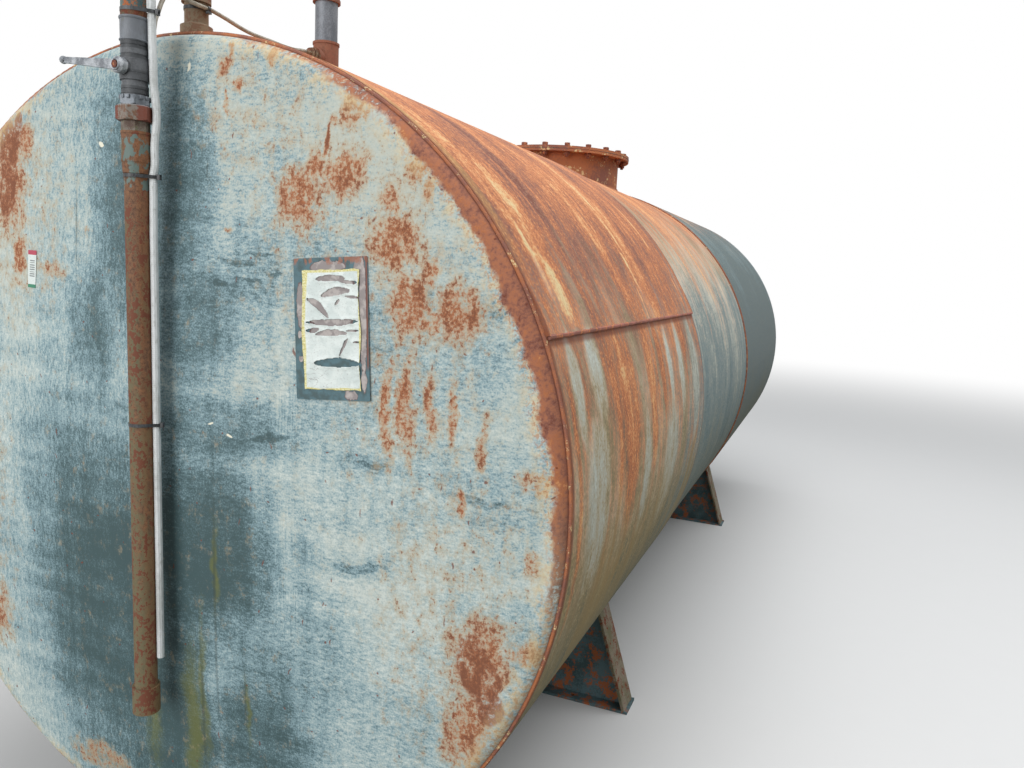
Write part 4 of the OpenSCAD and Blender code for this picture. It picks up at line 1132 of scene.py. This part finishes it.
class TANK_OT_weld_seams(bpy.types.Operator):
    """Lay the beads of the round seams and the rolled edges of the long laps"""

    bl_idname = "tank.weld_seams"
    bl_label = "Weld the seams"

    def execute(self, context):
        sizes, colours = context.scene.tank_sizes, context.scene.tank_colours
        finish = weld_finish("seam_weld", colours)
        outline = ring_outline(sizes.seam_bead, 7)
        corner, step = SHELL_R - 0.0047, MIDDLE_R + 0.0016
        proud, past = 0.0006, 0.0012
        for seed, (name, radius, y) in enumerate((
                ("seam_near_head", corner, NEAR_EDGE - proud),
                ("seam_near", step, SEAM_NEAR + past),
                ("seam_far", step, SEAM_FAR - past),
                ("seam_far_head", corner, FAR_EDGE + proud))):
            path = round_path(radius, y, 0.45)
            made = swept(path, outline, lumpy(path, seed * 7.0, 0.16, 0.021), looped=True,
                         up=(0, 1, 0))
            piece(name, made, finish)
        lap = metal_finish("lap_edge", colours.lap, colours.plum, colours.orange, 0.56, 46.0, 0.75,
                           pitted=0.8)
        outline = ring_outline(sizes.lap_bead, 8, 0.9)
        rise, gap, pitch = 0.0022, 0.004, 0.006
        for name, angle, radius, start, stop in (
                ("lap_near", LAP_NEAR, SHELL_R, NEAR_EDGE, SEAM_NEAR),
                ("lap_middle", LAP_MIDDLE, MIDDLE_R, SEAM_NEAR, SEAM_FAR),
                ("lap_far", LAP_FAR, SHELL_R, SEAM_FAR, FAR_EDGE)):
            turn = math.radians(angle)
            count = int((stop - start) / pitch)
            run = stop - start - 2 * gap
            path = [round_shell(radius + rise, turn, start + gap + run * i / count)
                    for i in range(count + 1)]
            made = swept(path, outline, lumpy(path, angle, 0.10, 0.05),
                         up=(math.sin(turn), 0, math.cos(turn)))
            piece(name, made, lap)
        return {"FINISHED"}


class TANK_OT_weld_fittings(bpy.types.Operator):
    """Lay the beads round the manhole neck, the stub, the vent and the saddles"""

    bl_idname = "tank.weld_fittings"
    bl_label = "Weld the fittings"

    def execute(self, context):
        size = context.scene.tank_sizes.fillet
        finish = weld_finish("fitting_weld", context.scene.tank_colours)
        spacing = 0.004
        for name, node, shell, slot in (
                ("weld_manhole", "manhole_neck", MIDDLE_R, "manhole_steel"),
                ("weld_stub", "suction_stub", SHELL_R, "rusty_pipe"),
                ("weld_vent", "vent_tee", SHELL_R, "rusty_pipe")):
            centre, radius = middle(node), half_width(node)
            bead = min(size, radius * 0.12)
            count = max(int(math.tau * radius / spacing), 40)
            path = []
            for across, along in ring_outline(radius, count):
                x, y = centre.x + across, centre.y + along
                path.append((x, y, AXIS_Z + math.sqrt(shell ** 2 - x * x) + bead * 0.2))
            made = swept(path, ring_outline(bead, 7), lumpy(path, radius, 0.2, 0.011), looped=True)
            piece(name, made, finish)
        outline = ring_outline(size * 0.8, 7)
        for saddle in ("near", "far"):
            low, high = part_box(f"saddle_{saddle}_web")
            for tag, y in (("front", low.y - 0.001), ("back", high.y + 0.001)):
                path = round_path(SHELL_R + 0.0015, y, 0.4, *SADDLE_ARC)
                made = swept(path, outline, lumpy(path, y, 0.2, 0.012), up=(0, 1, 0))
                piece(f"weld_saddle_{saddle}_{tag}", made, finish)
        return {"FINISHED"}


class TANK_OT_bolt_manhole(bpy.types.Operator):
    """Bolt the manhole's cover down on its gasket"""

    bl_idname = "tank.bolt_manhole"
    bl_label = "Bolt the manhole"

    def execute(self, context):
        sizes, colours = context.scene.tank_sizes, context.scene.tank_colours
        flats, washer, tail = sizes.bolt_size, 0.002, 0.008
        head, rod, hexagon, disc = flats * 0.55, flats * 0.30, flats * 0.577, flats * 0.62
        top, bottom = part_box("manhole_cover")[1].z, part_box("manhole_flange")[0].z
        stack = ((top, washer, 20, disc), (top + washer, head, 6, hexagon),
                 (bottom - washer, washer, 20, disc), (bottom - washer - head, head, 6, hexagon),
                 (bottom - tail - 0.001 - head, tail, 12, rod))
        bm = bmesh.new()
        for i in range(sizes.bolts):
            turn = math.tau * (i + 0.5) / sizes.bolts
            x = MANHOLE.x + sizes.bolt_ring * math.cos(turn)
            y = MANHOLE.y + sizes.bolt_ring * math.sin(turn)
            spin = Matrix.Rotation(turn * 2.7, 4, "Z")
            for base, tall, sides, radius in stack:
                place = Matrix.Translation((x, y, base + tall / 2)) @ spin
                made = bmesh.ops.create_cone(bm, cap_ends=True, segments=sides, radius1=radius,
                                             radius2=radius, depth=tall, matrix=place)
                if sides == 6:
                    around = dict.fromkeys(e for v in made["verts"] for e in v.link_edges)
                    rounded(bm, [e for e in around
                                 if abs(e.verts[0].co.z - e.verts[1].co.z) < LEVEL], 0.0012)
        bmesh.ops.recalc_face_normals(bm, faces=bm.faces)
        finish = metal_finish("bolt_steel", colours.plum, colours.rust_dark, colours.orange,
                              0.58, 90.0, 0.75)
        piece("manhole_bolts", bm, finish, crease=28.0)
        edge, seat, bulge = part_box("manhole_cover")[1].x, 0.0007, 0.0006
        low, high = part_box("manhole_flange")[1].z - seat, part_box("manhole_cover")[0].z + seat
        inside, lip, outside = edge - 0.02, edge - 0.0002, edge + 0.0012
        ring = [(inside, low), (lip, low - bulge), (outside, (low + high) / 2),
                (lip, high + bulge), (inside, high)]
        made = turned(ring, (MANHOLE.x, MANHOLE.y, 0.0), 96)
        rubber = coat_finish("gasket_rubber", colours.rust_dark, colours.deep, colours.moss_and_shade, 0.8)
        piece("manhole_gasket", made, rubber)
        return {"FINISHED"}


class TANK_OT_detail_riser(bpy.types.Operator):
    """Cut the threads, lips and slots of the riser's fittings and seat the lever's bolt"""

    bl_idname = "tank.detail_riser"
    bl_label = "Detail the riser"

    def execute(self, context):
        foot = (*RISER, 0.0)
        pipe, pitch = half_width("riser_pipe"), 0.0023
        inside, root, crest = pipe - 0.001, pipe + 0.0002, pipe + 0.0009
        for name, low, turns in (("thread_coupling", COUPLING_HIGH - 0.001, 6),
                                 ("thread_socket", SOCKET_LOW - 0.010, 4)):
            profile = [(inside, low)]
            for i in range(turns):
                profile += [(root, low + pitch * i), (crest, low + pitch * (i + 0.5))]
            profile += [(root, low + pitch * turns), (inside, low + pitch * turns)]
            piece(name, turned(profile, foot, 40), finish_of("riser_pipe"),
                  crease=60.0)
        bore = half_width("riser_coupling")
        lip = ((-0.0015, -0.0014), (0.0006, -0.0009), (0.0006, 0.0009), (-0.0015, 0.0014))
        for name, z in (("coupling_lip_low", COUPLING_LOW + 0.0022),
                        ("coupling_lip_high", COUPLING_HIGH - 0.0022)):
            profile = [(bore + out, z + up) for out, up in lip]
            piece(name, turned(profile, foot, 48), finish_of("riser_coupling"))
        teeth, tooth = 14, Matrix.Diagonal((0.0034, 0.0068, 0.0078, 1.0))
        top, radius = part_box("union_ring")[1].z - 0.004, half_width("union_ring") - 0.0012
        bm = bmesh.new()
        for i in range(teeth):
            turn = math.tau * (i + 0.25) / teeth
            place = Matrix.Translation((RISER.x + radius * math.cos(turn),
                                        RISER.y + radius * math.sin(turn), top))
            bmesh.ops.create_cube(bm, size=1.0,
                                  matrix=place @ Matrix.Rotation(turn, 4, "Z") @ tooth)
        rounded(bm, bm.edges, 0.0011)
        bmesh.ops.recalc_face_normals(bm, faces=bm.faces)
        piece("ring_teeth", bm, finish_of("union_ring"))

        # The lever's bolt sits in a pale raised rim, in a hexagonal recess
        front = (STEM.x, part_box("lever_bolt")[0].y, STEM.z)
        rim = [(0.0078, -0.0036), (0.0086, -0.0010), (0.0104, -0.0006), (0.0116, -0.0022),
               (0.0118, -0.0046)]
        made = turned(rim, front, 36, math.pi / 2)
        piece("lever_bolt_rim", made, finish_of("valve_lever"), body="lever")
        return {"FINISHED"}


class TANK_OT_trim_ties(bpy.types.Operator):
    """Leave the cut tails on the cable ties"""

    bl_idname = "tank.trim_ties"
    bl_label = "Trim the ties"

    def execute(self, context):
        away = (middle("conduit").xy - RISER).normalized()
        across = Vector((away.y, -away.x))
        half_w, half_t, steps = 0.0024, 0.0007, 8
        start, run, curl, more, droop = 0.001, 0.010, 0.013, 0.003, 0.004
        outline = [(-half_t, -half_w), (half_t, -half_w), (half_t, half_w), (-half_t, half_w)]
        bm = bmesh.new()
        for i, (z, reach) in enumerate(TIE_HEADS):
            path = []
            for t in (step / steps for step in range(steps + 1)):
                flat = RISER + away * reach + away * (start + run * t)
                flat += across * (start + (curl + more * i) * t * t)
                path.append((*flat, z - start - droop * t * t * (i - 0.6)))
            swept(path, outline, bm=bm)
        piece("tie_tails", bm, finish_of("cable_ties"))
        return {"FINISHED"}


def plate_mesh(centre, turn):
    """The label's backing plate, with rounded corners."""
    bm = bmesh.new()
    bmesh.ops.create_cube(bm, size=1.0,
                          matrix=Matrix.Diagonal((LABEL_W, 2 * PLATE_FACE, LABEL_H, 1.0)))
    sides = [e for e in bm.edges if abs(e.verts[0].co.y - e.verts[1].co.y) < LEVEL]
    bmesh.ops.subdivide_edges(bm, edges=sides, cuts=6, use_grid_fill=True)
    corners = [e for e in bm.edges if all(abs(v.co.x) > LABEL_W * 0.499
                                          and abs(v.co.z) > LABEL_H * 0.499 for v in e.verts)]
    rounded(bm, corners, 0.003, 3)
    bmesh.ops.transform(bm, matrix=Matrix.Translation(centre) @ turn, verts=bm.verts)
    bmesh.ops.recalc_face_normals(bm, faces=bm.faces)
    return bm


def film_mesh(sizes, centre, right, up, out):
    """The label's film: a sheet with its tears cut out, and lips, folds and curled edges."""
    bm = bmesh.new()
    bmesh.ops.create_grid(bm, x_segments=int(LABEL_W * 0.84 / sizes.film_grid),
                          y_segments=int(LABEL_H * 0.86 / sizes.film_grid), size=0.5)
    top, tall, places = 0.085, 0.845, {}
    for v in bm.verts:
        t, down = v.co.x + 0.5, top + (0.5 - v.co.y) * tall
        left, end = film_edges(down)
        across = left + (end - left) * t
        down += 0.006 * math.sin(across * 17) * (0.5 - abs(down - 0.5)) * 0.6
        down += (0.008 * noise.noise(Vector((across * 14, 1.7, 0)))
                 * (1 if down < 0.15 or down > 0.85 else 0.2))
        places[v] = across, down, in_tear(across, down)
    torn = [f for f in bm.faces if sum(places[v][2] > 0 for v in f.verts) >= 3]
    for v, (across, down, depth) in places.items():
        left, end = film_edges(down)
        edge = min(across - left, end - across) * LABEL_W
        lip = 0.5 + noise.noise(Vector((across * 9, down * 30, 4)))
        lip = max(lip * math.exp(min(depth, 0.0) / 0.016), 0.0)
        wave = noise.noise(Vector((across * 5, down * 11, 2.0))) * 0.5 + 0.5
        crumple = abs(noise.noise(Vector((across * 8, down * 34, 7)))) * math.exp(-edge / 0.012)
        curl = math.exp(-max(edge, 0.0) / 0.006)
        lift = (PLATE_FACE + 0.0004 + sizes.film_lift
                * (0.25 * wave + lip + 1.1 * crumple + 0.55 * curl))
        v.co = (centre + right * ((across - 0.5) * LABEL_W) + up * ((0.5 - down) * LABEL_H)
                + out * lift)
    bmesh.ops.delete(bm, geom=torn, context="FACES")
    rims = [v for v in bm.verts if v.is_boundary]
    for _ in range(2):
        bmesh.ops.smooth_vert(bm, verts=rims, factor=0.5, use_axis_x=True, use_axis_y=True,
                              use_axis_z=True)
    for face in bm.faces:
        if face.normal.dot(out) < 0:
            face.normal_flip()
    return bm


class TANK_OT_torn_label(bpy.types.Operator):
    """Lay the label's plate and the torn film over it"""

    bl_idname = "tank.torn_label"
    bl_label = "Lay the torn label"

    def execute(self, context):
        scene = context.scene
        centre, right, up, out = label_place()
        turn = Matrix((right, out, up)).transposed().to_4x4()
        plate = piece("label_plate", plate_mesh(centre, turn),
                      plate_finish("label_plate", scene.tank_metals, scene.tank_colours))
        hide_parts("label")
        made = piece("label_film", film_mesh(scene.tank_sizes, centre, right, up, out),
                     film_finish("label_film", scene.tank_metals), crease=60.0)
        thick = made.modifiers.new("Thickness", "SOLIDIFY")
        thick.thickness = FILM_THICK
        thick.offset = -1.0
        return {"FINISHED"}


class TANK_OT_sticker(bpy.types.Operator):
    """Stick the small plain sticker on the head, left of the riser"""

    bl_idname = "tank.sticker"
    bl_label = "Stick the sticker"

    def execute(self, context):
        sizes, metals = context.scene.tank_sizes, context.scene.tank_metals
        x, height = STICKER_AT
        centre = Vector((x, head_face(x, height) - 0.0005, AXIS_Z + height))
        lean = math.radians(2.0)
        right = Vector((math.cos(lean), -x / HEAD_CROWN_R, -math.sin(lean))).normalized()
        up = Vector((math.sin(lean), 0, math.cos(lean))).normalized()
        bm = bmesh.new()
        bmesh.ops.create_grid(bm, x_segments=12, y_segments=28, size=0.5)
        taper, lift, bend, bend_from = 0.10, 0.0006, 0.0012, 0.42
        for v in bm.verts:
            across, tall = v.co.x, v.co.y
            wide = sizes.sticker_w * (1.0 - taper * (0.5 - tall))
            spot = centre + right * (across * wide) + up * (tall * sizes.sticker_h)
            curl = bend * max(0.0, abs(across) - bend_from) * 6
            spot.y = head_face(spot.x, spot.z - AXIS_Z) - lift - curl
            v.co = spot
        bmesh.ops.solidify(bm, geom=bm.faces, thickness=FILM_THICK)
        bmesh.ops.recalc_face_normals(bm, faces=bm.faces)
        finish = sticker_finish("sticker_film", metals, centre, right, up, sizes.sticker_w,
                                sizes.sticker_h)
        piece("sticker", bm, finish)
        return {"FINISHED"}


class TANK_OT_set_stage(bpy.types.Operator):
    """Set up the floor, the lamps, the sky and the camera"""

    bl_idname = "tank.set_stage"
    bl_label = "Set the stage"

    def execute(self, context):
        stage = context.scene.tank_stage
        set_floor(context, stage)
        set_sky(context, stage)
        set_lamps(context, stage)
        set_camera(context, stage)
        return {"FINISHED"}


def set_floor(context, stage):
    """A round pale floor that turns into the white behind it."""
    bm = bmesh.new()
    bmesh.ops.create_circle(bm, cap_ends=True, segments=96, radius=60.0)
    mesh = bpy.data.meshes.new("floor")
    bm.to_mesh(mesh)
    bm.free()
    floor = bpy.data.objects.new("floor", mesh)
    context.scene.collection.objects.link(floor)
    f = Finish("floor")
    away = Signal(f, f.vector("LENGTH", f.at, output="Value"))
    fine = f.noise((9.0, 9.0, 9.0), 2.0)
    rays = f.node("ShaderNodeLightPath").outputs
    direct = Signal(f, rays["Is Camera Ray"])
    plain = f.mix(fine * 0.1, stage.floor, (0.6, 0.6, 0.6))
    f.shade = f.mix(direct, stage.bounce, plain)
    f.done(0.9, specular=0.1)
    glow = f.node("ShaderNodeEmission", {"Color": (1, 1, 1), "Strength": 1.0})
    seen = direct.most(Signal(f, rays["Is Glossy Ray"]))
    blend = f.node("ShaderNodeMixShader", {0: away.fade(5.0, 14.0) * seen, 1: f.shader.outputs[0],
                                           2: glow.outputs[0]})
    feed(f.tree, f.tree.nodes["Material Output"].inputs["Surface"], blend.outputs[0])
    mesh.materials.append(f.material)


def set_sky(context, stage):
    """Pale even light, and plain white where the camera looks past the tank."""
    world = bpy.data.worlds.new("sky")
    world.use_nodes = True
    context.scene.world = world
    tree = world.node_tree
    lit = add_node(tree, "ShaderNodeBackground", {"Color": (0.95, 0.98, 1.0),
                                                  "Strength": stage.world})
    shown = add_node(tree, "ShaderNodeBackground", {"Color": (1.0, 1.0, 1.0)})
    rays = add_node(tree, "ShaderNodeLightPath").outputs
    seen = rays["Is Camera Ray"]
    for kind in ("Is Glossy Ray", "Is Transmission Ray"):
        seen = add_node(tree, "ShaderNodeMath", {0: seen, 1: rays[kind]},
                        operation="MAXIMUM").outputs[0]
    blend = add_node(tree, "ShaderNodeMixShader", {0: seen, 1: lit.outputs[0], 2: shown.outputs[0]})
    feed(tree, tree.nodes["World Output"].inputs["Surface"], blend.outputs[0])


def set_lamps(context, stage):
    """One soft lamp overhead and one before the near head, neither of them in the picture."""
    for name, place, aim, size, watts in (
            ("top_lamp", (1.5, -0.5, 7.0), (0.0, 0.0, 1.0), 7.0, stage.top),
            ("front_lamp", (-1.4, -8.5, 2.7), (0.0, -2.4, 0.9), 5.0, stage.front)):
        lamp = bpy.data.lights.new(name, "AREA")
        lamp.energy = watts
        lamp.size = size
        holder = bpy.data.objects.new(name, lamp)
        holder.location = place
        holder.visible_camera = False
        holder.rotation_euler = (Vector(aim) - Vector(place)).to_track_quat("-Z", "Y").to_euler()
        context.scene.collection.objects.link(holder)


def set_camera(context, stage):
    """The camera stands close to the near head, turned along the shell's right side."""
    camera = bpy.data.cameras.new("camera")
    camera.lens = stage.lens
    camera.sensor_width = 36.0
    camera.clip_end = 200.0
    place = (1.3652, -3.7332, 1.5389)
    right = Vector((0.92151, 0.3853, 0.04867))
    up = Vector((-0.09937, 0.11279, 0.98864))
    back = Vector((0.37544, -0.91587, 0.14222))
    holder = bpy.data.objects.new("camera", camera)
    turn = Matrix((right, up, back)).transposed().to_4x4()
    holder.matrix_world = Matrix.Translation(place) @ turn
    context.scene.collection.objects.link(holder)
    context.scene.camera = holder
    context.scene.view_settings.view_transform = "Standard"


STEPS = (TANK_OT_paint_heads, TANK_OT_paint_courses, TANK_OT_paint_saddles,
         TANK_OT_finish_pipework, TANK_OT_finish_conduit, TANK_OT_weld_seams,
         TANK_OT_weld_fittings, TANK_OT_bolt_manhole, TANK_OT_detail_riser, TANK_OT_trim_ties,
         TANK_OT_torn_label, TANK_OT_sticker, TANK_OT_set_stage)
GROUPS = {"tank_colours": TankColours, "tank_metals": TankMetals, "tank_sizes": TankSizes,
          "tank_stage": TankStage}


class TANK_PT_panel(bpy.types.Panel):
    """Steps and settings of the tank"""

    bl_idname = "TANK_PT_panel"
    bl_label = "Oil tank"
    bl_space_type = "VIEW_3D"
    bl_region_type = "UI"
    bl_category = "Tank"

    def draw(self, context):
        for step in STEPS:
            self.layout.operator(step.bl_idname)
        for name in GROUPS:
            group = getattr(context.scene, name)
            box = self.layout.box()
            for key in group.bl_rna.properties.keys():
                if key not in ("rna_type", "name"):
                    box.prop(group, key)


CLASSES = (*GROUPS.values(), *STEPS, TANK_PT_panel)


def register():
    for kind in CLASSES:
        bpy.utils.register_class(kind)
    for name, group in GROUPS.items():
        setattr(bpy.types.Scene, name, PointerProperty(type=group))


def unregister():
    for name in GROUPS:
        delattr(bpy.types.Scene, name)
    for kind in reversed(CLASSES):
        bpy.utils.unregister_class(kind)


def main():
    register()
    for step in STEPS:
        group, name = step.bl_idname.split(".")
        getattr(getattr(bpy.ops, group), name)()


if __name__ == "__main__":
    main()
